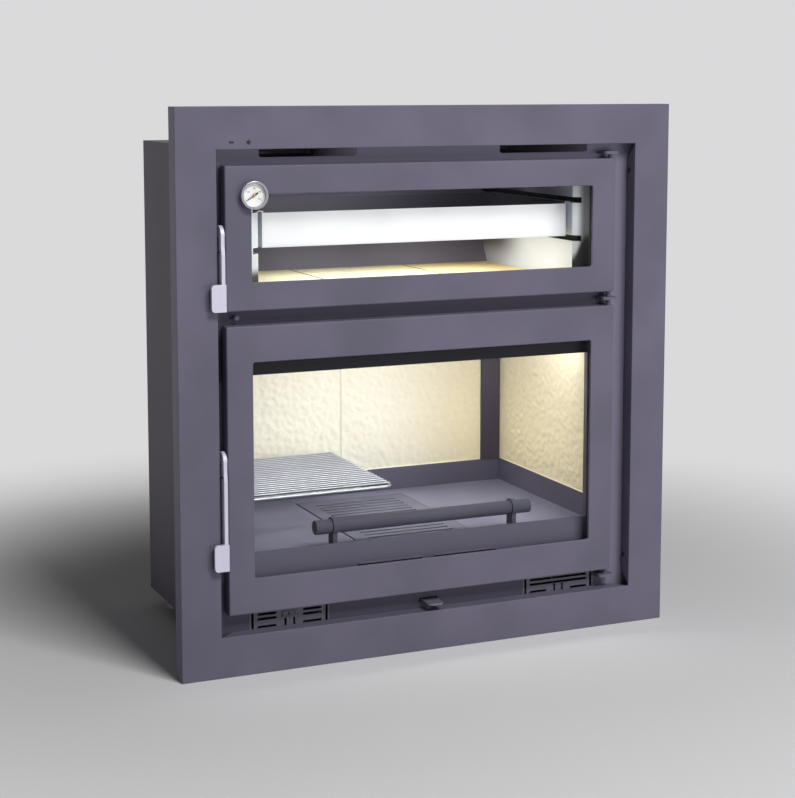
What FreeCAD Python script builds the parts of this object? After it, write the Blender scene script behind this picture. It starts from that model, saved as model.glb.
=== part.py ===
import FreeCAD, Part
import math
import os

# Fireplace insert with an oven above the fire, standing on four levelling feet.
# All lengths in mm. X runs to the right, Z up. While building, Y is measured backwards
# from the front plane of the trim frame; the finished pieces are moved so that the
# origin lies on the floor under the middle of the outer box.

# Trim frame
FRAME_W = 922.0
FRAME_H = 950.0
MEMBER = 69.5
FRAME_SHEET = 3.0
FRAME_DEPTH = 32.0
RETURN_DEPTH = 27.0

# Face plate behind the frame
PLATE_Y = 29.0
PLATE_T = 3.0
PLATE_HALF = 428.0
PLATE_Z0 = 40.0
PLATE_Z1 = 910.0

# Outer casing
CASING_HALF = 380.0
CASING_BACK = 470.0
CASING_Z0 = 33.0
CASING_Z1 = 882.0
CASING_SHEET = 2.0

# Fire chamber
FIRE_HALF = 346.0
FIRE_BACK = 438.0
LINING = 25.0
WALL_T = 3.0
HEARTH_Z = 184.0
HEARTH_T = 14.0
RIM_H = 44.0
LINING_TOP = 560.0
LINING_FRONT = 93.0
FIRE_MOUTH_Z0 = 202.0
FIRE_MOUTH_Z1 = 504.0
MOUTH_HALF = 336.0

# Oven
OVEN_HALF = 300.0
OVEN_FRONT = 62.0
OVEN_BACK = 440.0
SLOPE_Y = 405.0
SLOPE_TOP = 700.0
FIT_GAP = 0.2
OVEN_Z0 = 610.0
OVEN_Z1 = 838.0
OVEN_SHEET = 2.0
TILE_T = 26.0
TILE_JOINT = 117.0
TILE_GAP = 1.2
OVEN_MOUTH_Z0 = 634.0
SMOKE_TOP = 850.0
GUIDE_H = 10.2
GUIDE_Y0 = 51.5
GUIDE_Y1 = 430.0
GUIDE_LEVELS = (703.8, 772.9)
GUIDE_REACH = 14.0
TRAY_HALF = 290.0
TRAY_FRONT = 69.0
TRAY_BACK = 385.0
TRAY_H = 62.0
TRAY_RIM = 1.5
TRAY_DIP = 3.4

# Doors: common left and right edges, windows, hinge line and section
DOOR_X0 = -377.0
DOOR_X1 = 354.0
DOOR_Y0 = 2.0
DOOR_Y1 = 24.0
DOOR_SKIN = 5.0
DOOR_WALL = 4.0
WIN_X0 = -331.5
WIN_X1 = 307.5
OVEN_DOOR_Z = (616.0, 854.3)
OVEN_WIN_Z = (662.5, 807.0)
FIRE_DOOR_Z = (104.5, 591.0)
FIRE_WIN_Z = (164.5, 530.0)
HINGE_X = 348.0
HINGE_Y = 14.0
PIN_R = 4.0
RUN_FIT = 0.06
GLASS_T = 4.0
GLASS_OVER = 14.0

# Door levers
LEVER_X0 = -387.3
LEVER_X1 = -381.3
LEVER_PIVOT_Y = 9.0
LEVER_FRONT = -9.0
LEVER_REAR = 7.0
LOBE_R = 16.0
GRIP_X = -406.0
GRIP_Y0 = -14.0
GRIP_T = 6.0
GRIP_H = 45.0
OVEN_LEVER_Z = 742.0
OVEN_GRIP_Z = 618.0
FIRE_LEVER_Z = 368.0
FIRE_GRIP_Z = 186.5
KEEPER_DROP = 25.0
KEEPER_X = (LEVER_X0 + LEVER_X1) / 2.0

# Thermometer in the corner of the oven window
GAUGE_X = -329.0
GAUGE_Z = 806.0
GAUGE_R = 23.5

# Flue outlet
FLUE_Y = 300.0
FLUE_R = 100.5
FLUE_WALL = 3.0
FLUE_TOP = 930.0

# Grate, ash box, air slide
GRATE_X0 = -108.0
GRATE_X1 = 111.0
GRATE_SEAT = 112.0
GRATE_Y0 = 99.0
GRATE_Y1 = 400.0
GRATE_T = 8.0
GRATE_SLOTS = 14
GRATE_PITCH = 20.0
ASH_HALF = 126.0
ASH_Y0 = 60.0
ASH_Y1 = 416.0
ASH_Z0 = 85.0
SLIDE_HALF = 15.0
SLIDE_FRONT = -7.0
SLIDE_TRAVEL = 30.0

# Log bar and cooking grill
BAR_R = 12.5
BAR_HALF = 207.5
BAR_Y = 48.0
BAR_Z = 228.0
POST_X = 173.0
GRILL_X0 = -334.0
GRILL_X1 = -29.0
GRILL_Y0 = 112.0
GRILL_Y1 = 416.0
GRILL_Z = 270.0
GRILL_R = 4.0
GRILL_BEND = 12.0
GRILL_RODS = 20
GRILL_ROD_R = 2.0

# Blowers under the hearth
FAN_X0 = 187.0
FAN_X1 = 334.0
FAN_Z0 = 62.0
FAN_Z1 = 116.0
FAN_AXIS_Y = 72.0
FAN_AXIS_Z = 80.0
FAN_R = 24.0
FAN_BLADES = 14

# Secondary air lever on top of the casing, under the frame's minus and plus marks
AIR_X = -351.0
AIR_Y = 110.0
AIR_HOLE = (-300.0, 200.0)

# Levelling feet
FOOT_X = 330.0
FOOT_Y = (80.0, 430.0)

SHIFT_Y = -(GRIP_Y0 + CASING_BACK) / 2.0
PLATE_BACK = PLATE_Y + PLATE_T
WALL_IN = FIRE_HALF + LINING
SIDES = (-1, 1)

os.makedirs("parts", exist_ok=True)


def vec(x, y, z):
    return FreeCAD.Vector(x, y, z)


def box(x0, x1, y0, y1, z0, z1):
    """A block between two corners, given in any order along X."""
    low = min(x0, x1)
    return Part.makeBox(abs(x1 - x0), y1 - y0, z1 - z0, vec(low, y0, z0))


def rod(radius, start, direction, length):
    return Part.makeCylinder(radius, length, vec(*start), vec(*direction))


def prism(points, direction):
    """A closed outline of straight edges, pushed along a direction."""
    corners = [vec(*p) for p in points]
    wire = Part.makePolygon(corners + corners[:1])
    return Part.Face(wire).extrude(vec(*direction))


def soft_block(x0, x1, y0, y1, z0, z1, radius):
    """A block whose four edges along Y are rounded."""
    block = box(x0, x1, y0, y1, z0, z1)
    return block.makeFillet(radius, edges_along(block, 1))


def edges_along(shape, axis):
    """All straight edges that run along one axis."""
    found = []
    for edge in shape.Edges:
        if len(edge.Vertexes) < 2:
            continue
        run = edge.Vertexes[1].Point - edge.Vertexes[0].Point
        others = [abs(run[i]) for i in range(3) if i != axis]
        if abs(run[axis]) > 0.01 and max(others) < 0.001:
            found.append(edge)
    return found


def edges_on(shape, axis, value):
    """All edges that lie in the plane where one coordinate has a value."""
    found = []
    for edge in shape.Edges:
        if all(abs(v.Point[axis] - value) < 0.001 for v in edge.Vertexes):
            found.append(edge)
    return found


def join(solids):
    """Several overlapping solids made into one."""
    whole = solids[0]
    for solid in solids[1:]:
        whole = whole.fuse(solid)
    return whole.removeSplitter()


def cut(shape, tools):
    for tool in tools:
        shape = shape.cut(tool)
    return shape


def open_box(x0, x1, y0, y1, z0, z1, wall):
    """A sheet box without a lid."""
    inner = box(x0 + wall, x1 - wall, y0 + wall, y1 - wall, z0 + wall, z1 + 1.0)
    return box(x0, x1, y0, y1, z0, z1).cut(inner)


def save(name, solids):
    """Move a piece to the shared origin and write it."""
    if isinstance(solids, list):
        shape = Part.makeCompound(solids)
    else:
        shape = solids
    shape = shape.copy()
    shape.translate(vec(0, SHIFT_Y, 0))
    shape.exportStep("parts/" + name + ".step")
    print(name, len(shape.Solids), shape.isValid())


# Trim frame: front ring with folded outer edges and mitred inner returns

def front_frame():
    half = FRAME_W / 2.0
    inner = half - MEMBER
    z0 = MEMBER
    z1 = FRAME_H - MEMBER
    t = FRAME_SHEET
    ring = box(-half, half, 0, FRAME_DEPTH, 0, FRAME_H)
    ring = ring.cut(box(-half + t, half - t, t, FRAME_DEPTH + 1, t, FRAME_H - t))
    ring = ring.cut(box(-inner, inner, -1, t + 1, z0, z1))
    d = RETURN_DEPTH
    parts = [ring]
    for side in SIDES:
        x = side * inner
        outline = [(x, 0, z0), (x, 0, z1), (x, d, z1 - d), (x, d, z0 + d)]
        parts.append(prism(outline, (side * t, 0, 0)))
    for z, way in ((z0, -1), (z1, 1)):
        outline = [(-inner, 0, z), (inner, 0, z), (inner - d, d, z), (d - inner, d, z)]
        parts.append(prism(outline, (0, 0, way * t)))
    frame = join(parts)
    frame = frame.makeFillet(1.5, edges_on(frame, 1, 0.0))
    holes = [screw_hole(side, z) for side in SIDES for z in SCREW_Z]
    slot = box(AIR_X - 25, AIR_X + 25, 8, 20, z1 - 1, z1 + t + 1)
    return cut(frame, holes + [slot])


SCREW_Z = (124.0, 832.0)
SCREW_Y = 19.0


def screw_hole(side, z):
    start = FRAME_W / 2.0 - MEMBER - 5.0
    return rod(2.2, (side * start, SCREW_Y, z), (side, 0, 0), 20.0)


def frame_screws():
    screws = []
    inner = FRAME_W / 2.0 - MEMBER
    for side in SIDES:
        for z in SCREW_Z:
            shank = rod(2.0, (side * inner, SCREW_Y, z), (side, 0, 0), 8.0)
            head = rod(4.0, (side * (inner - 2.4), SCREW_Y, z), (side, 0, 0), 2.4)
            screws.append(join([shank, head]))
    return screws


# Face plate: mouths, air slots with a lip over the lower pair, blower openings,
# tabs that take the frame's screws

LIP_Z = 161.3
LIP_REACH = 4.0


def face_plate():
    y0 = PLATE_Y
    y1 = PLATE_BACK
    plate = box(-PLATE_HALF, PLATE_HALF, y0, y1, PLATE_Z0, PLATE_Z1)
    inner = FRAME_W / 2.0 - MEMBER + FRAME_SHEET
    tabs = []
    for side in SIDES:
        for z in SCREW_Z:
            tabs.append(box(side * inner, side * (inner + 2), 12, y0 + 1, z - 14, z + 14))
    lips = [air_lip(s) for s in SIDES]
    a = y0 - 1
    b = y1 + 1
    top = FRAME_H - MEMBER
    cuts = []
    cuts.append(soft_block(-MOUTH_HALF, MOUTH_HALF, a, b, OVEN_MOUTH_Z0, OVEN_Z1, 6))
    cuts.append(soft_block(-MOUTH_HALF, MOUTH_HALF, a, b, FIRE_MOUTH_Z0, FIRE_MOUTH_Z1, 6))
    for side in SIDES:
        cuts.append(soft_block(side * 135, side * 309, a, b, 866, top, 5))
        cuts.append(box(side * 135, side * 309, a, b, top - 6, top))
        cuts.append(soft_block(side * 12, side * 134, a, b, LIP_Z - 7, LIP_Z, 3))
        cuts.append(box(side * FAN_X0, side * FAN_X1, a, b, FAN_Z0, FAN_Z1))
    cuts.append(soft_block(-18, 18, a, b, 79.5, 87, 2))
    cuts.append(soft_block(AIR_X - 33, AIR_X + 33, a, b, CASING_Z1 + 0.5, 890, 2))
    cuts += [screw_hole(side, z) for side in SIDES for z in SCREW_Z]
    return cut(join([plate] + tabs + lips), cuts)


def air_lip(side):
    """A sloping lip over one of the lower air slots."""
    y0 = PLATE_Y - LIP_REACH
    y1 = PLATE_Y + 1
    x = side * 12.0
    outline = [(x, y0, LIP_Z), (x, y0, LIP_Z + 0.6), (x, y1, LIP_Z + 2.8), (x, y1, LIP_Z)]
    return prism(outline, (side * 122.0, 0, 0))


# Outer casing: five sheets behind the face plate

def casing_sides():
    inner = CASING_HALF - CASING_SHEET
    return [box(s * inner, s * CASING_HALF, PLATE_BACK, CASING_BACK, CASING_Z0, CASING_Z1)
            for s in SIDES]


def casing_back():
    inner = CASING_HALF - CASING_SHEET
    return box(-inner, inner, CASING_BACK - CASING_SHEET, CASING_BACK, CASING_Z0, CASING_Z1)


def casing_sheet(z0):
    inner = CASING_HALF - CASING_SHEET
    back = CASING_BACK - CASING_SHEET
    return box(-inner, inner, PLATE_BACK, back, z0, z0 + CASING_SHEET)


def casing_top():
    z0 = CASING_Z1 - CASING_SHEET
    flue = rod(FLUE_R + FLUE_WALL + 0.5, (0, FLUE_Y, z0 - 1), (0, 0, 1), 5)
    stud = rod(3.1, (AIR_X, AIR_Y, z0 - 1), (0, 0, 1), 5)
    air = rod(13.0, AIR_HOLE + (z0 - 1,), (0, 0, 1), 5)
    return cut(casing_sheet(z0), [flue, stud, air])


def casing_base():
    holes = [rod(6.3, (s * FOOT_X, y, CASING_Z0 - 1), (0, 0, 1), 5)
             for s in SIDES for y in FOOT_Y]
    return cut(casing_sheet(CASING_Z0), holes)


def levelling_feet():
    feet = []
    for s in SIDES:
        for y in FOOT_Y:
            pad = rod(22.0, (s * FOOT_X, y, 0), (0, 0, 1), 6)
            stud = rod(6.0, (s * FOOT_X, y, 3), (0, 0, 1), CASING_Z0 + 12)
            ring = [(s * FOOT_X + 10.5 * math.cos(math.radians(60 * i)),
                     y + 10.5 * math.sin(math.radians(60 * i)), CASING_Z0 - 9) for i in range(6)]
            feet.append(join([pad, stud, prism(ring, (0, 0, 9))]))
    return feet


# Flue outlet and the top of the smoke box under it

def flue_collar():
    z0 = SMOKE_TOP + WALL_T
    outer = FLUE_R + FLUE_WALL
    tube = rod(outer, (0, FLUE_Y, z0), (0, 0, 1), FLUE_TOP - z0)
    flange = rod(outer + 22, (0, FLUE_Y, CASING_Z1), (0, 0, 1), 3)
    bore = rod(FLUE_R, (0, FLUE_Y, z0 - 1), (0, 0, 1), 100)
    return join([tube, flange]).cut(bore)


def smoke_top():
    half = WALL_IN + WALL_T
    lid = box(-half, half, PLATE_BACK, FIRE_BACK + LINING + WALL_T, SMOKE_TOP, SMOKE_TOP + WALL_T)
    return lid.cut(rod(FLUE_R - 3.5, (0, FLUE_Y, SMOKE_TOP - 1), (0, 0, 1), 10))


# Secondary air lever: a flat bar on a stud, with a finger tab and a cover disc

def air_lever():
    z = CASING_Z1 + 2.0
    dx = AIR_HOLE[0] - AIR_X
    dy = AIR_HOLE[1] - AIR_Y
    reach = math.hypot(dx, dy)
    rear = box(AIR_X - 6, AIR_X + 6, AIR_Y, AIR_Y + reach, z, z + 3)
    rear.rotate(vec(AIR_X, AIR_Y, z), vec(0, 0, 1), -math.degrees(math.atan2(dx, dy)))
    front = box(AIR_X - 6, AIR_X + 6, 12, AIR_Y, z, z + 3)
    eye = rod(9.0, (AIR_X, AIR_Y, z), (0, 0, 1), 3)
    disc = rod(17.0, AIR_HOLE + (z,), (0, 0, 1), 3)
    tab = box(AIR_X - 6, AIR_X + 6, 12, 15, z - 3, z + 3)
    lever = join([front, rear, eye, disc, tab])
    return lever.cut(rod(3.0 + RUN_FIT, (AIR_X, AIR_Y, z - 1), (0, 0, 1), 6))


def air_lever_stud():
    z = CASING_Z1
    shank = rod(3.0, (AIR_X, AIR_Y, z - 2), (0, 0, 1), 9)
    spacer = rod(6.0, (AIR_X, AIR_Y, z), (0, 0, 1), 1.6)
    head = rod(6.0, (AIR_X, AIR_Y, z + 5.4), (0, 0, 1), 2.6)
    return join([shank, spacer, head])


# Blowers: grille plates, housings, motors and drum impellers

GRILLE_ROWS = (69.0, 82.6, 90.8, 107.0)


def fan_grille(side, bridge):
    """A grille plate; the upper slots leave a bridge of the given half width in the middle."""
    mid = side * (FAN_X0 + FAN_X1) / 2.0
    half = (FAN_X1 - FAN_X0) / 2.0 - 0.5
    plate = box(mid - half, mid + half, PLATE_Y, PLATE_Y + 2, FAN_Z0, FAN_Z1)
    a = PLATE_Y - 1
    b = PLATE_Y + 3
    cuts = []
    for z in GRILLE_ROWS:
        gap = 24.0 if z == GRILLE_ROWS[0] else bridge
        if gap > 0:
            for s in SIDES:
                cuts.append(soft_block(mid + s * gap, mid + s * 58.6, a, b, z, z + 4.3, 2))
        else:
            cuts.append(soft_block(mid - 58.6, mid + 58.6, a, b, z, z + 4.3, 2))
    for s in SIDES:
        cuts.append(box(mid + s * 6, mid + s * 10, a, b, FAN_Z0 + 3, GRILLE_ROWS[1] - 1))
        cuts.append(box(mid + s * 65, mid + s * 69.5, a, b, FAN_Z0 + 3, FAN_Z1 - 3))
    return cut(plate, cuts)


def blower_housing(side):
    x0 = 192.0
    x1 = 324.0
    z0 = CASING_Z0 + CASING_SHEET
    sheets = [box(side * x0, side * (x0 + 2), 36, 112, z0, 120)]
    sheets.append(box(side * (x1 - 2), side * x1, 36, 112, z0, 120))
    sheets.append(box(side * x0, side * x1, 110, 112, z0, 120))
    sheets.append(box(side * x0, side * x1, 36, 112, z0, z0 + 2))
    bore = rod(3.0 + RUN_FIT, (side * 180, FAN_AXIS_Y, FAN_AXIS_Z), (side, 0, 0), 160)
    return join(sheets).cut(bore)


def blower_motor(side):
    body = rod(23.0, (side * 148, FAN_AXIS_Y, FAN_AXIS_Z), (side, 0, 0), 44)
    foot = box(side * 152, side * 188, 56, 88, CASING_Z0 + CASING_SHEET, FAN_AXIS_Z - 12)
    socket = rod(3.0 + RUN_FIT, (side * 186, FAN_AXIS_Y, FAN_AXIS_Z), (side, 0, 0), 10)
    return join([body, foot]).cut(socket)


def impeller(side):
    y = FAN_AXIS_Y
    z = FAN_AXIS_Z
    solids = [rod(3.0, (side * 187, y, z), (side, 0, 0), 139)]
    for x in (197.0, 257.0, 317.0):
        solids.append(rod(FAN_R, (side * x, y, z), (side, 0, 0), 2))
    for i in range(FAN_BLADES):
        blade = box(side * 198, side * 318, y - 0.6, y + 0.6, z + FAN_R - 8, z + FAN_R - 0.5)
        blade.rotate(vec(0, y, z + FAN_R - 4), vec(1, 0, 0), 28)
        blade.rotate(vec(0, y, z), vec(1, 0, 0), 360.0 * i / FAN_BLADES)
        solids.append(blade)
    return join(solids)


# Fire chamber: steel walls, cast hearth, lining panels and their steel edges

def fire_side_walls():
    back = FIRE_BACK + LINING + WALL_T
    z0 = CASING_Z0 + CASING_SHEET
    return [box(s * WALL_IN, s * (WALL_IN + WALL_T), PLATE_BACK, back, z0, SMOKE_TOP)
            for s in SIDES]


def fire_back_wall():
    y = FIRE_BACK + LINING
    z0 = CASING_Z0 + CASING_SHEET
    return box(-WALL_IN, WALL_IN, y, y + WALL_T, z0, SMOKE_TOP)


def hearth_plate():
    z0 = HEARTH_Z - HEARTH_T
    plate = box(-WALL_IN, WALL_IN, PLATE_BACK, FIRE_BACK + LINING, z0, HEARTH_Z)
    half = GRATE_SEAT
    y0 = GRATE_Y0 - 1
    y1 = GRATE_Y1 + 1
    seat = box(-half, half, y0, y1, HEARTH_Z - GRATE_T, HEARTH_Z + 1)
    well = box(-half + 8, half - 8, y0 + 8, y1 - 8, z0 - 1, HEARTH_Z)
    return cut(plate, [seat, well])


def fire_grate():
    z0 = HEARTH_Z - GRATE_T
    grate = box(GRATE_X0, GRATE_X1, GRATE_Y0, GRATE_Y1, z0, HEARTH_Z)
    slots = []
    for i in range(GRATE_SLOTS):
        y = 364.5 - GRATE_PITCH * i
        slots.append(box(-80, 80, y - 3.5, y + 3.5, z0 - 1, HEARTH_Z + 1))
        for s in SIDES:
            slots.append(rod(3.5, (s * 80, y, z0 - 1), (0, 0, 1), GRATE_T + 2))
    return cut(grate, slots)


def side_panels():
    return [box(s * FIRE_HALF, s * WALL_IN, LINING_FRONT, FIRE_BACK + LINING,
                HEARTH_Z + RIM_H, LINING_TOP) for s in SIDES]


def back_panels():
    return [box(s * 0.4, s * (FIRE_HALF - 0.3), FIRE_BACK, FIRE_BACK + LINING,
                HEARTH_Z + RIM_H, LINING_TOP) for s in SIDES]


def panel_posts():
    return [box(s * 304, s * (FIRE_HALF - 0.3), FIRE_BACK - 3, FIRE_BACK,
                HEARTH_Z + RIM_H, LINING_TOP) for s in SIDES]


def fire_jambs():
    jambs = []
    for s in SIDES:
        face = box(s * FIRE_HALF, s * (FIRE_HALF + 3), PLATE_BACK, LINING_FRONT, HEARTH_Z, LINING_TOP)
        lip = box(s * FIRE_HALF, s * WALL_IN, LINING_FRONT - 3, LINING_FRONT, HEARTH_Z, LINING_TOP)
        jambs.append(join([face, lip]))
    return jambs


def hearth_rims():
    top = HEARTH_Z + RIM_H
    rims = []
    for s in SIDES:
        face = box(s * FIRE_HALF, s * (FIRE_HALF + 4), LINING_FRONT, FIRE_BACK + LINING, HEARTH_Z, top)
        ledge = box(s * FIRE_HALF, s * WALL_IN, LINING_FRONT, FIRE_BACK + LINING, top - 4, top)
        rims.append(join([face, ledge]))
    half = FIRE_HALF - 0.3
    face = box(-half, half, FIRE_BACK, FIRE_BACK + 4, HEARTH_Z, top)
    ledge = box(-half, half, FIRE_BACK, FIRE_BACK + LINING, top - 4, top)
    rims.append(join([face, ledge]))
    return rims


def baffle_plate():
    return box(-WALL_IN, WALL_IN, 150, FIRE_BACK + LINING, LINING_TOP, LINING_TOP + LINING)


# Ash box with the guide of the primary air slide, ash pan, slide

def ash_box():
    shell = open_box(-ASH_HALF, ASH_HALF, ASH_Y0, ASH_Y1, ASH_Z0, HEARTH_Z - HEARTH_T, WALL_T)
    edge = SLIDE_HALF + 1
    guides = []
    for s in SIDES:
        guides.append(box(s * edge, s * (edge + 3), 36, 150, ASH_Z0 - 8, ASH_Z0))
        guides.append(box(s * (edge - 7), s * edge, 36, 150, ASH_Z0 - 8, ASH_Z0 - 5))
    air = rod(11.0, (0, 90, ASH_Z0 - 1), (0, 0, 1), 6)
    return join([shell] + guides).cut(air)


def ash_pan():
    z0 = ASH_Z0 + WALL_T
    return open_box(-100, 100, 112, 388, z0, z0 + 70, 1.5)


def air_slide():
    z0 = ASH_Z0 - 4
    plate = box(-SLIDE_HALF, SLIDE_HALF, SLIDE_FRONT, 140, z0, z0 + 3)
    corners = [e for e in edges_along(plate, 2) if e.Vertexes[0].Point.y < 20]
    plate = plate.makeFillet(9, corners)
    y = SLIDE_FRONT + 17
    hook = prism([(-4, y - 6, z0 - 1), (-4, y + 6, z0 - 1), (7, y, z0 - 1)], (0, 0, 6))
    air = rod(11.0, (0, 90 + SLIDE_TRAVEL, z0 - 1), (0, 0, 1), 6)
    return cut(plate, [hook, air])


# Log bar in front of the fire, on two posts

def log_bar():
    bar = rod(BAR_R, (-BAR_HALF, BAR_Y, BAR_Z), (1, 0, 0), 2 * BAR_HALF)
    return bar.makeFillet(1.0, [e for e in bar.Edges if len(e.Vertexes) == 1])


def log_posts():
    posts = []
    for s in SIDES:
        ring = rod(BAR_R + 3.2, (s * POST_X - 4, BAR_Y, BAR_Z), (1, 0, 0), 8)
        leg = box(s * POST_X - 4, s * POST_X + 4, BAR_Y - 11, BAR_Y + 11, HEARTH_Z, BAR_Z)
        hole = rod(BAR_R + 0.15, (s * POST_X - 9, BAR_Y, BAR_Z), (1, 0, 0), 18)
        posts.append(join([ring, leg]).cut(hole))
    return posts


# Cooking grill of rods and the wall bracket that carries it

def cooking_grill():
    x0 = GRILL_X0 + GRILL_R
    x1 = GRILL_X1 - GRILL_R
    y0 = GRILL_Y0 + GRILL_R
    y1 = GRILL_Y1 - GRILL_R
    solids = [bent_hoop(x0, x1, y0, y1, GRILL_Z, GRILL_R, GRILL_BEND)]
    z = GRILL_Z + GRILL_R + GRILL_ROD_R - 1.5
    first = y0 + 13.0
    pitch = (y1 - first) / (GRILL_RODS - 1)
    for i in range(GRILL_RODS):
        y = first + pitch * i
        solids.append(rod(GRILL_ROD_R, (x0 - 2, y, z), (1, 0, 0), x1 - x0 + 4))
    return join(solids)


def bent_hoop(x0, x1, y0, y1, z, radius, bend):
    """A round bar bent to a closed rectangle, given by the corners of its middle line."""
    solids = []
    for y in (y0, y1):
        solids.append(rod(radius, (x0 + bend, y, z), (1, 0, 0), x1 - x0 - 2 * bend))
    for x in (x0, x1):
        solids.append(rod(radius, (x, y0 + bend, z), (0, 1, 0), y1 - y0 - 2 * bend))
    corners = ((x1, y1, -1, -1, 0), (x0, y1, 1, -1, 90), (x0, y0, 1, 1, 180), (x1, y0, -1, 1, 270))
    for x, y, dx, dy, turn in corners:
        elbow = Part.makeTorus(bend, radius, vec(0, 0, 0), vec(0, 0, 1), -180, 180, 90)
        elbow.rotate(vec(0, 0, 0), vec(0, 0, 1), turn)
        elbow.translate(vec(x + dx * bend, y + dy * bend, z))
        solids.append(elbow)
    return join(solids)


def grill_bracket():
    z = GRILL_Z - GRILL_R - 4.0 - 0.4
    strip = box(-FIRE_HALF, -FIRE_HALF + 4, 60, 430, z - 8, z + 8)
    arms = [rod(4.0, (-FIRE_HALF + 2, y, z), (1, 0, 0), 270) for y in (160.0, 350.0)]
    return join([strip] + arms)


# Oven: floor plate, slotted sheet lining, splayed throat, tiles, tray guides and tray

def oven_floor_plate():
    return box(-312, 312, PLATE_BACK, OVEN_BACK + 5, OVEN_Z0 - 4, OVEN_Z0)


def guide_slots():
    """Cuts through the side sheets, two levels on each side, open into the throat."""
    return [box(s * (OVEN_HALF - 5), s * (OVEN_HALF + 25), GUIDE_Y0, GUIDE_Y1, z, z + GUIDE_H)
            for s in SIDES for z in GUIDE_LEVELS]


def oven_side_walls():
    t = OVEN_SHEET
    walls = []
    for s in SIDES:
        wall = box(s * OVEN_HALF, s * (OVEN_HALF + t), OVEN_FRONT, OVEN_BACK + t, OVEN_Z0, OVEN_Z1)
        walls.append(cut(wall, guide_slots()))
    return walls


def oven_back():
    return box(-OVEN_HALF, OVEN_HALF, OVEN_BACK, OVEN_BACK + OVEN_SHEET, OVEN_Z0, OVEN_Z1)


def oven_back_foot():
    """A sheet that slopes from the back of the oven down to the tiles."""
    x = FIT_GAP - OVEN_HALF
    z = OVEN_Z0 + TILE_T + FIT_GAP
    rear = OVEN_BACK - FIT_GAP
    face = [(SLOPE_Y, z), (rear - OVEN_SHEET, SLOPE_TOP)]
    outline = [(x, y, level) for y, level in face]
    outline += [(x, y + OVEN_SHEET, level) for y, level in reversed(face)]
    return prism(outline, (-2 * x, 0, 0))


def oven_roof():
    wide = MOUTH_HALF + 2
    half = OVEN_HALF + OVEN_SHEET
    back = OVEN_BACK + OVEN_SHEET
    z = OVEN_Z1
    outline = [(-wide, PLATE_BACK, z), (wide, PLATE_BACK, z), (half, OVEN_FRONT, z),
               (half, back, z), (-half, back, z), (-half, OVEN_FRONT, z)]
    return prism(outline, (0, 0, OVEN_SHEET))


def oven_throat():
    solids = []
    for s in SIDES:
        outline = [(s * OVEN_HALF, OVEN_FRONT, OVEN_Z0), (s * MOUTH_HALF, PLATE_BACK, OVEN_Z0),
                   (s * (MOUTH_HALF + 2.0), PLATE_BACK, OVEN_Z0),
                   (s * (OVEN_HALF + 2.0), OVEN_FRONT, OVEN_Z0)]
        solids.append(cut(prism(outline, (0, 0, OVEN_Z1 - OVEN_Z0)), guide_slots()))
    z = OVEN_MOUTH_Z0 - 2
    sill = [(-MOUTH_HALF, PLATE_BACK, z), (MOUTH_HALF, PLATE_BACK, z),
            (OVEN_HALF, OVEN_FRONT, z), (-OVEN_HALF, OVEN_FRONT, z)]
    solids.append(prism(sill, (0, 0, 2)))
    return solids


def oven_tiles():
    edges = [-OVEN_HALF, -TILE_JOINT, TILE_JOINT, OVEN_HALF]
    top = OVEN_Z0 + TILE_T
    back = OVEN_BACK - TILE_GAP
    tiles = []
    for x0, x1 in zip(edges, edges[1:]):
        tiles.append(box(x0 + TILE_GAP, x1 - TILE_GAP, OVEN_FRONT, back, OVEN_Z0, top))
    return tiles


def oven_rails():
    """Channels behind the slots, open towards the oven."""
    x0 = OVEN_HALF + OVEN_SHEET
    x1 = x0 + GUIDE_REACH
    y0 = OVEN_FRONT + 4
    rails = []
    for s in SIDES:
        for z in GUIDE_LEVELS:
            block = box(s * x0, s * x1, y0, GUIDE_Y1 + 2, z - 2, z + GUIDE_H + 2)
            groove = box(s * (x0 - 1), s * (x1 - 2), y0 - 1, GUIDE_Y1, z, z + GUIDE_H)
            rails.append(block.cut(groove))
    return rails


def oven_tray():
    """A welded tray: floor, four sides with the front one lower, and rims that hang in the upper guides."""
    rim_z = GUIDE_LEVELS[1] + 0.4
    top = rim_z + TRAY_RIM
    floor_z = top - TRAY_H + OVEN_SHEET
    wall_z = floor_z + FIT_GAP
    side = TRAY_HALF - OVEN_SHEET
    end = side - FIT_GAP
    sheets = [box(-TRAY_HALF, TRAY_HALF, TRAY_FRONT, TRAY_BACK, floor_z - OVEN_SHEET, floor_z)]
    sheets.append(box(-end, end, TRAY_FRONT, TRAY_FRONT + OVEN_SHEET, wall_z, top - TRAY_DIP))
    sheets.append(box(-end, end, TRAY_BACK - OVEN_SHEET, TRAY_BACK, wall_z, top))
    for s in SIDES:
        sheets.append(box(s * side, s * TRAY_HALF, TRAY_FRONT, TRAY_BACK, wall_z, top))
        rim_x = TRAY_HALF + FIT_GAP
        sheets.append(box(s * rim_x, s * (OVEN_HALF + 9), TRAY_FRONT, TRAY_BACK - 7, rim_z, top))
    return sheets


# Hinges and keepers on the face plate

LUG_T = 5.0


def lug_levels():
    """Underside of the top, middle and bottom lug."""
    top = OVEN_DOOR_Z[1] + 7.7
    middle = (FIRE_DOOR_Z[1] + OVEN_DOOR_Z[0] - LUG_T) / 2.0
    bottom = FIRE_DOOR_Z[0] - 9.5 - LUG_T
    return (top, middle, bottom)


def hinge_lugs():
    lugs = []
    for z in lug_levels():
        lug = box(332, 361, 3, PLATE_Y, z, z + LUG_T)
        front = [e for e in edges_along(lug, 2) if e.Vertexes[0].Point.y < 4]
        lug = lug.makeFillet(6, front)
        lugs.append(lug.cut(rod(PIN_R + 0.05, (HINGE_X, HINGE_Y, z - 1), (0, 0, 1), LUG_T + 2)))
    return lugs


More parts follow.
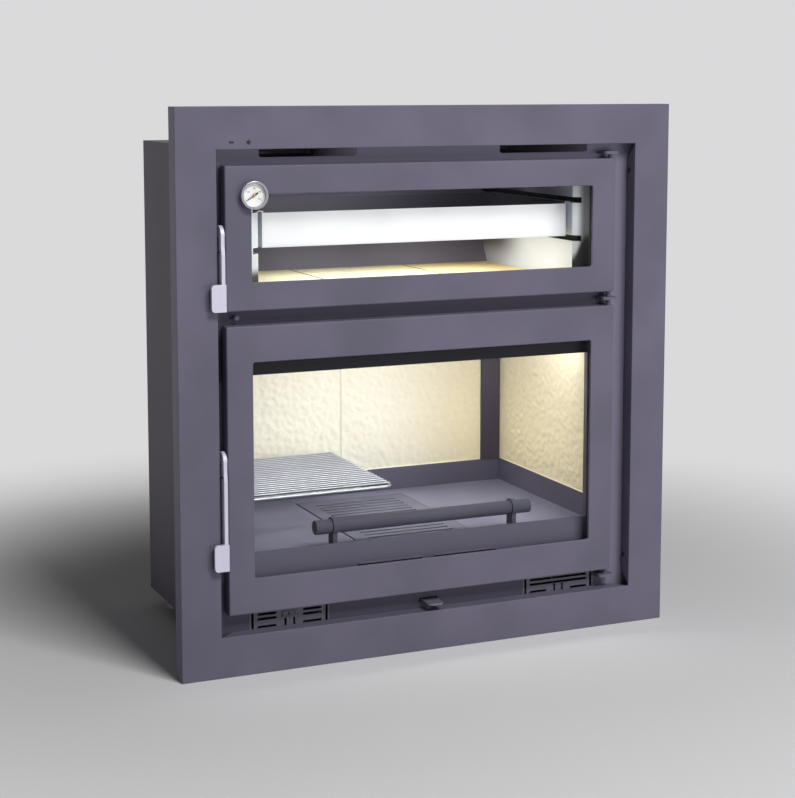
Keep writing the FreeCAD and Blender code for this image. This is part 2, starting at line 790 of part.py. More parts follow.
def hinge_pins():
    top, middle, bottom = lug_levels()
    grip = 16.0
    spans = [(OVEN_DOOR_Z[1] - grip, top + LUG_T + 1), (FIRE_DOOR_Z[1] - grip, OVEN_DOOR_Z[0] + grip),
             (bottom - 1, FIRE_DOOR_Z[0] + grip)]
    return [rod(PIN_R, (HINGE_X, HINGE_Y, z0), (0, 0, 1), z1 - z0) for z0, z1 in spans]


def latch_keepers():
    studs = []
    for z in (OVEN_LEVER_Z - KEEPER_DROP, FIRE_LEVER_Z - KEEPER_DROP):
        studs.append(rod(3.5, (KEEPER_X, 15, z), (0, 1, 0), PLATE_Y - 15))
    z = (FIRE_DOOR_Z[1] + OVEN_DOOR_Z[0]) / 2.0
    stem = rod(2.5, (-353, 20, z), (0, 1, 0), PLATE_Y - 20)
    studs.append(join([stem, rod(4.2, (-353, 18, z), (0, 1, 0), 4)]))
    return studs


# Doors: folded frame, ceramic glass, clips that hold it, rope gasket

def ring_block(x0, x1, z0, z1, inset, y0, y1):
    """A rectangular ring of one width all round."""
    hole = box(x0 + inset, x1 - inset, y0 - 1, y1 + 1, z0 + inset, z1 - inset)
    return box(x0, x1, y0, y1, z0, z1).cut(hole)


def door_frame(door_z, win_z, lever_z):
    z0, z1 = door_z
    skin = box(DOOR_X0, DOOR_X1, DOOR_Y0, DOOR_Y0 + DOOR_SKIN, z0, z1)
    hinge_corners = [e for e in edges_along(skin, 1) if e.Vertexes[0].Point.x > 0]
    skin = skin.makeFillet(4.0, hinge_corners)
    skin = skin.makeFillet(2.4, edges_on(skin, 1, DOOR_Y0))
    skin = skin.cut(soft_block(WIN_X0, WIN_X1, DOOR_Y0 - 1, DOOR_Y0 + 9, win_z[0], win_z[1], 4))
    inner = [e for e in edges_on(skin, 1, DOOR_Y0)
             if e.BoundBox.XMin > WIN_X0 - 1 and e.BoundBox.XMax < WIN_X1 + 1]
    skin = skin.makeFillet(1.2, inner)
    wall = ring_block(DOOR_X0, DOOR_X1, z0, z1, DOOR_WALL, DOOR_Y0 + DOOR_SKIN, DOOR_Y1)
    back = ring_block(DOOR_X0, DOOR_X1, z0, z1, 18.0, DOOR_Y1 - 3, DOOR_Y1)
    solids = [skin, wall, back]
    for low in (z0, z1 - 16):
        solids.append(box(HINGE_X - 10, DOOR_X1, DOOR_Y0 + DOOR_SKIN - 1, DOOR_Y1, low, low + 16))
    p = LEVER_PIVOT_Y
    solids.append(rod(4.0, (DOOR_X0 + 2, p, lever_z), (-1, 0, 0), DOOR_X0 - LEVER_X0 + 4))
    solids.append(rod(6.5, (DOOR_X0 + 1, p, lever_z), (-1, 0, 0), DOOR_X0 - LEVER_X1 + 0.6))
    solids.append(rod(6.5, (LEVER_X0 - 0.4, p, lever_z), (-1, 0, 0), 2.0))
    frame = join(solids)
    bores = [rod(PIN_R + RUN_FIT, (HINGE_X, HINGE_Y, low - 1), (0, 0, 1), 19) for low in (z0, z1 - 17)]
    return cut(frame, bores)


def oven_door_frame():
    frame = door_frame(OVEN_DOOR_Z, OVEN_WIN_Z, OVEN_LEVER_Z)
    gusset = rod(20.0, (GAUGE_X, DOOR_Y0, GAUGE_Z), (0, 1, 0), DOOR_SKIN)
    hole = rod(5.1, (GAUGE_X, DOOR_Y0 - 1, GAUGE_Z), (0, 1, 0), DOOR_SKIN + 2)
    return frame.fuse(gusset).removeSplitter().cut(hole)


def door_glass(win_z):
    y0 = DOOR_Y0 + DOOR_SKIN
    o = GLASS_OVER
    return box(WIN_X0 - o, WIN_X1 + o, y0, y0 + GLASS_T, win_z[0] - o, win_z[1] + o)


def oven_door_glass():
    return door_glass(OVEN_WIN_Z).cut(rod(12.0, (GAUGE_X, 0, GAUGE_Z), (0, 1, 0), 30))


def glass_clips(win_z):
    """Four stepped strips, one along each edge of the glass."""
    y0 = DOOR_Y0 + DOOR_SKIN
    y1 = y0 + GLASS_T
    clips = []
    z_low = win_z[0] + 30
    z_high = win_z[1] - 40
    for x, s in ((WIN_X0 - GLASS_OVER, -1), (WIN_X1 + GLASS_OVER, 1)):
        strip = box(x - s * 8, x + s * 10, y1, y1 + 2, z_low, z_high)
        foot = box(x + s * 0.4, x + s * 10, y0, y1 + 1, z_low, z_high)
        clips.append(join([strip, foot]))
    for z, s in ((win_z[0] - GLASS_OVER, -1), (win_z[1] + GLASS_OVER, 1)):
        a, b = sorted((z - s * 8, z + s * 10))
        c, d = sorted((z + s * 0.4, z + s * 10))
        strip = box(WIN_X0 + 50, WIN_X1 - 40, y1, y1 + 2, a, b)
        foot = box(WIN_X0 + 50, WIN_X1 - 40, y0, y1 + 1, c, d)
        clips.append(join([strip, foot]))
    return clips


def door_gasket(door_z):
    z0, z1 = door_z
    return ring_block(DOOR_X0 + 6, DOOR_X1 - 6, z0 + 6, z1 - 6, 10.0, DOOR_Y1, PLATE_Y - 0.4)


# Door levers: a profile in the plane of Y and Z with a grip folded to the left

def door_lever(pivot_z, grip_z):
    p = LEVER_PIVOT_Y
    x = LEVER_X0
    thick = LEVER_X1 - LEVER_X0
    top = grip_z + GRIP_H
    notch_z = pivot_z - KEEPER_DROP
    outline = [(x, p - LOBE_R, pivot_z), (x, p - LOBE_R, notch_z + 8), (x, LEVER_FRONT, notch_z - 6),
               (x, LEVER_FRONT, top), (x, GRIP_Y0, top), (x, GRIP_Y0, grip_z),
               (x, GRIP_Y0 + 11, grip_z), (x, LEVER_REAR, top), (x, LEVER_REAR, notch_z - 14),
               (x, p + 2, notch_z), (x, p + LOBE_R - 2, pivot_z)]
    arm = prism(outline, (thick, 0, 0))
    lobe = rod(LOBE_R, (x, p, pivot_z), (1, 0, 0), thick)
    grip = box(GRIP_X, LEVER_X1, GRIP_Y0, GRIP_Y0 + GRIP_T, grip_z, top)
    left = [e for e in edges_along(grip, 1) if e.Vertexes[0].Point.x < GRIP_X + 1]
    grip = grip.makeFillet(6.0, left)
    lever = join([arm, lobe, grip])
    hole = rod(4.0 + RUN_FIT, (x - 2, p, pivot_z), (1, 0, 0), thick + 4)
    mouth = LEVER_PIVOT_Y + LOBE_R
    notch = [(x - 1, -2, notch_z - 4.5), (x - 1, mouth, notch_z - 4.5),
             (x - 1, mouth, notch_z + 6.5), (x - 1, -2, notch_z + 1.0)]
    return cut(lever, [hole, prism(notch, (thick + 2, 0, 0))])


# Thermometer: case with bezel and stem, lens, pointer

def gauge_case():
    x = GAUGE_X
    z = GAUGE_Z
    cup = rod(22.0, (x, -6.0, z), (0, 1, 0), 8.0)
    bezel = rod(GAUGE_R, (x, -9.0, z), (0, 1, 0), 4.0)
    stem = rod(5.0, (x, 1.0, z), (0, 1, 0), 19.0)
    nut = rod(9.0, (x, DOOR_Y0 + DOOR_SKIN, z), (0, 1, 0), 6.0)
    whole = join([cup, bezel, stem, nut])
    whole = whole.makeFillet(1.2, [e for e in edges_on(whole, 1, -9.0)])
    return cut(whole, [rod(19.5, (x, -10.0, z), (0, 1, 0), 7.0)])


def gauge_lens():
    return rod(19.3, (GAUGE_X, -8.6, GAUGE_Z), (0, 1, 0), 1.0)


def gauge_needle():
    x = GAUGE_X
    z = GAUGE_Z
    y = -6.2
    hub = rod(2.2, (x, y, z), (0, 1, 0), 0.8)
    spindle = rod(0.8, (x, y, z), (0, 1, 0), 2.9)
    outline = [(x - 0.9, y, z), (x + 0.9, y, z), (x + 0.25, y, z + 16.5), (x - 0.25, y, z + 16.5)]
    point = prism(outline, (0, 0.6, 0))
    tail = box(x - 1.2, x + 1.2, y, y + 0.6, z - 7.5, z)
    needle = join([hub, spindle, point, tail])
    needle.rotate(vec(x, y, z), vec(0, 1, 0), -123)
    return needle


# Write every piece

save("front_frame", front_frame())
save("frame_screws", frame_screws())
save("face_plate", face_plate())
save("casing_sides", casing_sides())
save("casing_back", casing_back())
save("casing_top", casing_top())
save("casing_base", casing_base())
save("levelling_feet", levelling_feet())
save("flue_collar", flue_collar())
save("smoke_top", smoke_top())
save("air_lever", air_lever())
save("air_lever_stud", air_lever_stud())
save("fan_grilles", [fan_grille(-1, 24.0), fan_grille(1, 0.0)])
save("blower_housings", [blower_housing(s) for s in SIDES])
save("blower_motors", [blower_motor(s) for s in SIDES])
save("impeller_left", impeller(-1))
save("impeller_right", impeller(1))
save("fire_side_walls", fire_side_walls())
save("fire_back_wall", fire_back_wall())
save("hearth_plate", hearth_plate())
save("fire_grate", fire_grate())
save("side_panels", side_panels())
save("back_panels", back_panels())
save("panel_posts", panel_posts())
save("fire_jambs", fire_jambs())
save("hearth_rims", hearth_rims())
save("baffle_plate", baffle_plate())
save("ash_box", ash_box())
save("ash_pan", ash_pan())
save("air_slide", air_slide())
save("log_bar", log_bar())
save("log_posts", log_posts())
save("cooking_grill", cooking_grill())
save("grill_bracket", grill_bracket())
save("oven_floor_plate", oven_floor_plate())
save("oven_side_walls", oven_side_walls())
save("oven_back", oven_back())
save("oven_back_foot", oven_back_foot())
save("oven_roof", oven_roof())
save("oven_throat", oven_throat())
save("oven_tiles", oven_tiles())
save("oven_rails", oven_rails())
save("oven_tray", oven_tray())
save("hinge_lugs", hinge_lugs())
save("hinge_pins", hinge_pins())
save("latch_keepers", latch_keepers())
save("oven_door_frame", oven_door_frame())
save("oven_door_glass", oven_door_glass())
save("oven_glass_clips", glass_clips(OVEN_WIN_Z))
save("oven_door_gasket", door_gasket(OVEN_DOOR_Z))
save("oven_lever", door_lever(OVEN_LEVER_Z, OVEN_GRIP_Z))
save("gauge_case", gauge_case())
save("gauge_lens", gauge_lens())
save("gauge_needle", gauge_needle())
save("fire_door_frame", door_frame(FIRE_DOOR_Z, FIRE_WIN_Z, FIRE_LEVER_Z))
save("fire_door_glass", door_glass(FIRE_WIN_Z))
save("fire_glass_clips", glass_clips(FIRE_WIN_Z))
save("fire_door_gasket", door_gasket(FIRE_DOOR_Z))
save("fire_lever", door_lever(FIRE_LEVER_Z, FIRE_GRIP_Z))
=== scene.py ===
"""Looks of a built-in wood-burning fireplace insert with an oven above the fire.

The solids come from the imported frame. This script gives each of them its finish, models the
small and soft pieces that they lack, and sets up the light and the camera. Lengths are metres:
X to the right, Y to the back, Z up from the floor.
"""

import logging
import math
from dataclasses import dataclass
from enum import Enum
from typing import Callable, Generic, TypeVar, Union

import bpy
from bpy.types import Material, Node, NodeSocket, Object, World
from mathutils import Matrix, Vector


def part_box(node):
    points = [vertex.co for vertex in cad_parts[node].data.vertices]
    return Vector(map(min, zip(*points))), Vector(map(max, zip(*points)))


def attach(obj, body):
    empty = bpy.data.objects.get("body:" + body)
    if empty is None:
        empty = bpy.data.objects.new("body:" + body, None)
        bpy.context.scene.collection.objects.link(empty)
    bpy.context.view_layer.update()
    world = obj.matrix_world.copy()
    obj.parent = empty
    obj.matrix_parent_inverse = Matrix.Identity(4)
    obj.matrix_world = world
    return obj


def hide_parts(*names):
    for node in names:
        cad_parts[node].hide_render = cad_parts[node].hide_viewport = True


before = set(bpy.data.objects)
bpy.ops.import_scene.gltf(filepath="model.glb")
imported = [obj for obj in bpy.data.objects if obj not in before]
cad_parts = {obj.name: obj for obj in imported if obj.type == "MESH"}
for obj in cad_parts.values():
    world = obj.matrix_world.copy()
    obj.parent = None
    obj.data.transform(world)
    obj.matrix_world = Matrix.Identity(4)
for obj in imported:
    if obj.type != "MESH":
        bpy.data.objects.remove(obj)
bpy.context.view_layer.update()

IMAGE_HEIGHT_PX = 798
SMOOTH_BELOW = math.radians(40.0)  # edges flatter than this are shaded smooth
FACING = 0.9  # cosine above which a face counts as facing a direction
LOG = logging.getLogger("fireplace_insert")

Colour = tuple[float, float, float]
Point = tuple[float, float, float]
Span = tuple[float, float]
Test = Callable[[Vector, Vector], bool]
Owner = TypeVar("Owner", Material, World)

UPRIGHT_GRAIN: Point = (40.0, 40.0, 1.0)


class Body(Enum):
    """The bodies of the frame that the new pieces move with."""

    INSERT = "insert"
    OVEN_DOOR = "oven_door"
    FIRE_DOOR = "fire_door"
    NEEDLE = "needle"


class Value:
    """A number that a shader works out at each point; Python's operators add its Math nodes."""

    def __init__(self, graph: "Graph", socket: NodeSocket) -> None:
        """Keep the graph and the socket that carries the number."""
        self.graph = graph
        self.socket = socket

    def maths(self, operation: str, first: "Number", second: "Number" = 0.0) -> "Value":
        """Add one Math node and return its result."""
        return self.graph.value("ShaderNodeMath", {"operation": operation}, {0: first, 1: second})

    def __add__(self, other: "Number") -> "Value":
        """Sum."""
        return self.maths("ADD", self, other)

    __radd__ = __add__

    def __sub__(self, other: "Number") -> "Value":
        """Difference."""
        return self.maths("SUBTRACT", self, other)

    def __rsub__(self, other: "Number") -> "Value":
        """Difference with the plain number first."""
        return self.maths("SUBTRACT", other, self)

    def __mul__(self, other: "Number") -> "Value":
        """Product."""
        return self.maths("MULTIPLY", self, other)

    __rmul__ = __mul__

    def sine(self) -> "Value":
        """Sine of the number, taken as radians."""
        return self.maths("SINE", self)

    def root(self) -> "Value":
        """Square root of the number."""
        return self.maths("SQRT", self)

    def size(self) -> "Value":
        """The number without its sign."""
        return self.maths("ABSOLUTE", self)

    def ramp(self, low: float, high: float) -> "Value":
        """A smooth step from 0 at low to 1 at high.

        Args:
            low: Where the step starts.
            high: Where it ends.

        Returns:
            The step.
        """
        settings = {"interpolation_type": "SMOOTHSTEP"}
        sockets = {"Value": self, "From Min": low, "From Max": high}
        return self.graph.value("ShaderNodeMapRange", settings, sockets)

    def band(self, low: float, high: float, rise: float, fall: float) -> "Value":
        """1 between two limits, after a rise at the low one and before a fall at the high one."""
        return self.ramp(low, low + rise) * (1.0 - self.ramp(high, high + fall))


Number = Union[float, Value]
Fed = Union[float, Value, NodeSocket, tuple]


class Graph(Generic[Owner]):
    """The nodes of one material or world."""

    def __init__(self, owner: Owner) -> None:
        """Start with no nodes.

        Args:
            owner: The material or world.
        """
        self.owner = owner
        owner.use_nodes = True
        self.tree = owner.node_tree
        self.tree.nodes.clear()

    def node(self, kind: str, settings: dict | None = None, sockets: dict | None = None) -> Node:
        """Add any node.

        Args:
            kind: The node's type.
            settings: Its own properties, set first.
            sockets: Values or links of its inputs, by name or number.

        Returns:
            The node.
        """
        made = self.tree.nodes.new(kind)
        for name, value in (settings or {}).items():
            setattr(made, name, value)
        for key, value in (sockets or {}).items():
            self.feed(made.inputs[key], value)
        return made

    def value(self, kind: str, settings: dict, sockets: dict, output: int | str = 0) -> Value:
        """Add any node and take one of its outputs as a number."""
        return Value(self, self.node(kind, settings, sockets).outputs[output])

    def feed(self, socket: NodeSocket, value: Fed) -> None:
        """Link a value or a socket to an input, or set a plain number or colour on it.

        Args:
            socket: The input.
            value: What it gets.
        """
        if isinstance(value, Value):
            self.tree.links.new(value.socket, socket)
        elif isinstance(value, NodeSocket):
            self.tree.links.new(value, socket)
        elif socket.type == "RGBA" and len(value) == 3:
            socket.default_value = (*value, 1.0)
        else:
            socket.default_value = value

    def place(self, stretch: Point = (1.0, 1.0, 1.0)) -> NodeSocket:
        """Object coordinates, made denser by a factor along each axis."""
        source = self.node("ShaderNodeTexCoord").outputs["Object"]
        return self.node("ShaderNodeMapping", {}, {"Vector": source, "Scale": stretch}).outputs[0]

    def axes(self) -> tuple[Value, Value, Value]:
        """The three Object coordinates as numbers."""
        parts = self.node("ShaderNodeSeparateXYZ", {}, {0: self.place()}).outputs
        return Value(self, parts[0]), Value(self, parts[1]), Value(self, parts[2])

    def noise(self, grain: float, detail: float = 3.0, stretch: Point = (1.0, 1.0, 1.0)) -> Value:
        """Soft noise from about 0 to 1, in patches of a size in metres, denser along stretched axes."""
        sockets = {"Vector": self.place(stretch), "Scale": 1.0 / grain, "Detail": detail}
        return self.value("ShaderNodeTexNoise", {}, sockets)

    def cells(self, grain: float, smooth: float) -> Value:
        """Distance to the middle of scattered cells, of a size in metres, that melt together."""
        sockets = {"Vector": self.place(), "Scale": 1.0 / grain, "Smoothness": smooth}
        return self.value("ShaderNodeTexVoronoi", {"feature": "SMOOTH_F1"}, sockets)

    def mix(self, share: Number, under: Fed, over: Fed) -> NodeSocket:
        """Lay one colour over another by the share of the upper one."""
        return self.node("ShaderNodeMix", {"data_type": "RGBA"}, {0: share, 6: under, 7: over}).outputs[2]

    def bump(self, height: Value, depth: float, strength: float) -> NodeSocket:
        """Turn a height from 0 to 1 into a normal; 1 stands for the depth in metres."""
        sockets = {"Height": height, "Distance": depth, "Strength": strength}
        return self.node("ShaderNodeBump", {}, sockets).outputs[0]

    def satin(self) -> NodeSocket:
        """The normal of satin sheet: a faint, fine relief."""
        return self.bump(self.noise(0.0014), 0.00003, 0.4)

    def blend(self, share: Value, under: NodeSocket, over: NodeSocket) -> NodeSocket:
        """Mix two shaders by the share of the upper one."""
        return self.node("ShaderNodeMixShader", {}, {0: share, 1: under, 2: over}).outputs[0]

    def surface(self, **sockets: Fed) -> Owner:
        """Close the material with one Principled shader; its inputs have _ for each blank."""
        named = {name.replace("_", " "): value for name, value in sockets.items()}
        return self.close(self.node("ShaderNodeBsdfPrincipled", {}, named).outputs[0])

    def close(self, shader: NodeSocket, output: str = "ShaderNodeOutputMaterial") -> Owner:
        """Send a shader to the output node and return the finished material or world."""
        self.node(output, {}, {"Surface": shader})
        return self.owner


def shade(tone: Colour, factor: float) -> Colour:
    """A tone made darker or lighter by a factor, with no part above 1."""
    return tuple(min(1.0, c * factor) for c in tone)


@dataclass(frozen=True)
class Finish:
    """A finish that pieces can wear."""

    name: str

    def graph(self) -> Graph[Material]:
        """Start the finish's material."""
        return Graph(bpy.data.materials.new(self.name))

    def make(self) -> Material:
        """Build the finish's material, which each kind of finish does in its own way."""
        raise NotImplementedError


@dataclass(frozen=True)
class HeatPaint(Finish):
    """Matt stove paint: a fine sprayed grain and faint clouds in the tone."""

    tone: Colour
    roughness: float = 0.5
    grain: float = 0.0011
    depth: float = 0.00006
    cloud: float = 0.16
    dusty: float = 0.10
    shine: float = 0.2

    def make(self) -> Material:
        """Build the paint.

        Returns:
            The material.
        """
        g = self.graph()
        clouds = g.noise(self.cloud, 4.0)
        grain = g.noise(self.grain, 2.0)
        dark = shade(self.tone, 1.0 - self.dusty)
        light = shade(self.tone, 1.0 + self.dusty)
        tone = g.mix(clouds.ramp(0.3, 0.7), dark, light)
        tone = g.mix(grain.ramp(0.55, 0.8) * 0.12, tone, shade(self.tone, 1.9))
        roughness = self.roughness + (clouds - 0.5) * 0.12 + (grain - 0.5) * 0.1
        return g.surface(
            Base_Color=tone,
            Roughness=roughness,
            Specular_IOR_Level=self.shine,
            Normal=g.bump(grain, self.depth, 0.6),
        )


@dataclass(frozen=True)
class FacePaint(HeatPaint):
    """The face plate's paint with painted light and shade: painted shade under the doors, a painted shadow
    under the lintel over the fire, painted light along its uncovered edges and on the sill.
    """

    right: Span = (0.346, 0.356)
    top: Span = (0.846, 0.860)
    sill: Span = (0.15, 0.20)
    lintel: Span = (0.49, 0.56)
    # How much darker under the doors (painted shade), how much lighter along the uncovered edges (painted
    # light) and how dark the painted shadow under the lintel is.
    covered: float = 0.62
    open: float = 1.45
    sooted: float = 0.16
    sill_share: float = 0.5
    edge: float = 0.01
    soot_edge: float = 0.03

    def make(self) -> Material:
        """Build the paint.

        Returns:
            The material.
        """
        g = self.graph()
        x, _, z = g.axes()
        sill = z.band(*self.sill, self.edge, self.edge)
        lintel = z.band(*self.lintel, self.edge, self.soot_edge)
        # Painted light along the uncovered right and top edges and, less, on the sill.
        lit_share = (x.ramp(*self.right) + z.ramp(*self.top) + sill * self.sill_share).ramp(0.0, 1.0)
        grain = g.noise(self.grain, 2.0)
        paint = g.mix(lit_share, shade(self.tone, self.covered), shade(self.tone, self.open))
        # Painted shadow under the lintel, except where painted light lies.
        return g.surface(
            Base_Color=g.mix(lintel * (1.0 - lit_share), paint, shade(self.tone, self.sooted)),
            Roughness=self.roughness + (grain - 0.5) * 0.1,
            Specular_IOR_Level=self.shine,
            Normal=g.bump(grain, self.depth, 0.6),
        )


@dataclass(frozen=True)
class CastFinish(Finish):
    """Cast iron under heat paint: a pebbled skin with darker pits."""

    tone: Colour
    pebble: float = 0.0032
    depth: float = 0.00028

    def make(self) -> Material:
        """Build the casting's skin.

        Returns:
            The material.
        """
        g = self.graph()
        pebbles = g.cells(self.pebble, 0.8)
        soot = g.noise(0.05, 5.0)
        tone = g.mix(soot.ramp(0.35, 0.75), shade(self.tone, 0.82), self.tone)
        tone = g.mix(pebbles.ramp(0.45, 0.9) * 0.3, tone, shade(self.tone, 0.5))
        height = 1.0 - pebbles + g.noise(0.0012) * 0.3
        return g.surface(
            Base_Color=tone,
            Roughness=0.55 + soot * 0.15,
            Specular_IOR_Level=0.25,
            Normal=g.bump(height, self.depth, 0.5),
        )


@dataclass(frozen=True)
class SheetSteel(Finish):
    """Bare or plated steel sheet with a rolled or brushed grain along one axis."""

    tone: Colour
    roughness: float
    metallic: float = 1.0
    along: Point = (1.0, 60.0, 60.0)
    streak: float = 0.09
    smear: float = 0.08

    def make(self) -> Material:
        """Build the steel.

        Returns:
            The material.
        """
        g = self.graph()
        streaks = g.noise(self.streak, 3.0, self.along)
        smears = g.noise(self.smear)
        tone = g.mix(streaks.ramp(0.3, 0.7) * 0.5, self.tone, shade(self.tone, 0.93))
        tone = g.mix(smears.ramp(0.5, 0.8) * 0.4, tone, shade(self.tone, 0.9))
        roughness = self.roughness + (streaks - 0.5) * 0.12 + (smears - 0.5) * 0.1
        return g.surface(
            Base_Color=tone,
            Roughness=roughness,
            Metallic=self.metallic,
            Normal=g.bump(streaks, 0.00004, 0.5),
        )


@dataclass(frozen=True)
class MouthSteel(Finish):
    """Satin steel with painted shade: darker at the right of the oven's mouth, most in its lower corner,
    where a painted dark reflection joins it.
    """

    bright: Colour
    smoked: Colour
    inner: float = 0.300
    outer: float = 0.320
    rise: float = 0.040
    edge: Span = (0.664, 0.684)
    # How much painted shade the steel takes towards its right edge and in its lower corner.
    tint: float = 0.80
    corner_tint: float = 0.95

    def make(self) -> Material:
        """Build the tinted sheet.

        Returns:
            The material.
        """
        g = self.graph()
        x, _, z = g.axes()
        outwards = x.ramp(self.inner, self.outer)
        streaks = g.noise(0.06, stretch=UPRIGHT_GRAIN)
        # Painted shade towards the mouth's right edge; in the lower corner, painted shade and a painted dark
        # reflection.
        outward_shade = outwards.ramp(0.15, 1.0) * self.tint
        corner = 1.0 - (z - outwards * self.rise).ramp(*self.edge)
        share = 1.0 - (1.0 - outward_shade) * (1.0 - corner * self.corner_tint)
        return g.surface(
            Base_Color=g.mix(share, self.bright, self.smoked),
            Roughness=0.42 + (streaks - 0.5) * 0.12,
            Metallic=0.25,
            Specular_IOR_Level=0.2,
            Normal=g.bump(streaks, 0.00004, 0.5),
        )


@dataclass(frozen=True)
class OvenSteel(Finish):
    """Satin sheet with painted shade: darker and browner towards the oven's back and roof."""

    bright: Colour
    smoked: Colour
    depth: Span = (-0.02, 0.15)
    rise: Span = (0.64, 0.69)
    roof: Span = (0.765, 0.785)

    def make(self) -> Material:
        """Build the browned sheet.

        Returns:
            The material.
        """
        g = self.graph()
        _, y, z = g.axes()
        smears = g.noise(0.08)
        # Painted shade: darker towards the back, most up high, and under the roof, where the light from the
        # front falls off.
        rear_shade = y.ramp(*self.depth) * (z.ramp(*self.rise) * 0.65 + 0.35)
        share = (rear_shade * 0.9 + z.ramp(*self.roof) * 0.45 + (smears - 0.5) * 0.1).ramp(0.0, 1.0)
        return g.surface(
            Base_Color=g.mix(share, self.bright, self.smoked),
            Roughness=0.45 + (smears - 0.5) * 0.12,
            Metallic=0.25,
            Normal=g.satin(),
        )


@dataclass(frozen=True)
class Chrome(Finish):
    """Bright plating with a few dull spots."""

    tone: Colour
    roughness: float
    grain: float = 0.4

    def make(self) -> Material:
        """Build the plating.

        Returns:
            The material.
        """
        g = self.graph()
        dull = g.noise(0.018, 4.0)
        tone = g.mix(dull.ramp(0.45, 0.75) * 0.6, self.tone, shade(self.tone, 0.86))
        return g.surface(
            Base_Color=tone,
            Roughness=self.roughness + dull.ramp(0.4, 0.8) * 0.12,
            Metallic=1.0,
            Normal=g.bump(g.noise(0.0009), 0.00002, self.grain),
        )


@dataclass(frozen=True)
class Galvanised(Finish):
    """Zinc coated sheet with its crystal spangle."""

    tone: Colour
    crystal: float = 0.012

    def make(self) -> Material:
        """Build the coating.

        Returns:
            The material.
        """
        g = self.graph()
        sockets = {"Vector": g.place(), "Scale": 1.0 / self.crystal}
        flake = g.node("ShaderNodeTexVoronoi", {"feature": "F1"}, sockets).outputs["Color"]
        facet = g.value("ShaderNodeSeparateColor", {}, {0: flake})
        tone = g.mix(facet * 0.55, self.tone, shade(self.tone, 0.68))
        return g.surface(Base_Color=tone, Roughness=0.34 + facet * 0.16, Metallic=0.9)


@dataclass(frozen=True)
class PressedBoard(Finish):
    """Cream pressed board: flakes, warm stains and charred joints, with painted shade in a warmer, darker
    right end and a darker top.
    """

    tone: Colour
    stain: Colour
    stained: float
    # A warmer, darker tone towards the right end and a darker one at the top: painted shade.
    toast: Colour
    toasted: float
    flake: float = 0.0042
    depth: float = 0.0005
    end: Span = (0.05, 0.33)
    head: Span = (0.26, 0.46)
    smoked: float = 0.0
    smoke: Colour = (0.40, 0.37, 0.30)
    speck: Colour = (0.55, 0.47, 0.3)
    joint: float = 1.0
    slit: Span = (0.0016, 0.0036)
    char: Colour = (0.30, 0.18, 0.06)

    def make(self) -> Material:
        """Build the board's face.

        Returns:
            The material.
        """
        g = self.graph()
        flakes = g.cells(self.flake, 0.5)
        cloud = g.noise(0.11, 4.0)
        fine = g.noise(0.0016)
        x, _, z = g.axes()
        # Painted shade: warmer and darker towards the right end.
        warm = x.ramp(*self.end) * 0.7
        tone = g.mix(cloud.ramp(0.42, 0.75) * self.stained, self.tone, self.stain)
        tone = g.mix(warm * self.toasted, tone, self.toast)
        tone = g.mix(flakes.ramp(0.5, 0.95) * 0.35, tone, self.stain)
        tone = g.mix(fine.ramp(0.6, 0.75) * 0.12, tone, self.speck)
        # Painted shade: darker towards the top of the board.
        tone = g.mix(z.ramp(*self.head) * self.smoked, tone, self.smoke)
        edge = 1.0 - (x.size() - self.joint).size().ramp(*self.slit)
        tone = g.mix(edge * 0.85, tone, self.char)
        height = flakes.ramp(0.0, 1.0) * 0.7 + fine * 0.3
        roughness = 0.82 + (fine - 0.5) * 0.2
        return g.surface(Base_Color=tone, Roughness=roughness, Normal=g.bump(height, self.depth, 0.5))


@dataclass(frozen=True)
class ClearGlass(Finish):
    """Clear pane: straight through, with a faint mirror on the faces towards the eye."""

    tint: Colour = (0.97, 0.975, 0.97)
    index: float = 1.16
    haze: float = 0.04

    def make(self) -> Material:
        """Build the glass.

        Returns:
            The material.
        """
        g = self.graph()
        clear = g.node("ShaderNodeBsdfTransparent", {}, {"Color": self.tint}).outputs[0]
        film = g.noise(0.09, 4.0).ramp(0.35, 0.8) * 0.05
        sockets = {"Base Color": (0.9, 0.9, 0.9), "Metallic": 1.0, "Roughness": self.haze + film}
        mirror = g.node("ShaderNodeBsdfPrincipled", {}, sockets).outputs[0]
        fresnel = g.value("ShaderNodeFresnel", {}, {"IOR": self.index})
        inside = g.value("ShaderNodeNewGeometry", {}, {}, "Backfacing")
        return g.close(g.blend(fresnel * (1.0 - inside), clear, mirror))


@dataclass(frozen=True)
class BraidedRope(Finish):
    """Knitted glass-fibre rope: diamonds of yarn with darker gaps between them."""

    tone: Colour = (0.11, 0.11, 0.115)
    gap: Colour = (0.03, 0.03, 0.032)
    yarn: float = 0.0042

    def make(self) -> Material:
        """Build the rope's knit.

        Returns:
            The material.
        """
        g = self.graph()
        x, y, z = g.axes()
        turn = 2.0 * math.pi / self.yarn
        rising = ((x + z + y) * turn * 0.5).sine().size()
        falling = ((x - z + y) * turn * 0.5).sine().size()
        knit = rising * falling
        fuzz = g.noise(0.0009)
        tone = g.mix(knit.ramp(0.1, 0.6), self.gap, self.tone)
        tone = g.mix(fuzz.ramp(0.55, 0.8) * 0.3, tone, shade(self.tone, 2.0))
        return g.surface(Base_Color=tone, Roughness=0.9, Normal=g.bump(knit + fuzz * 0.3, 0.0009, 0.8))


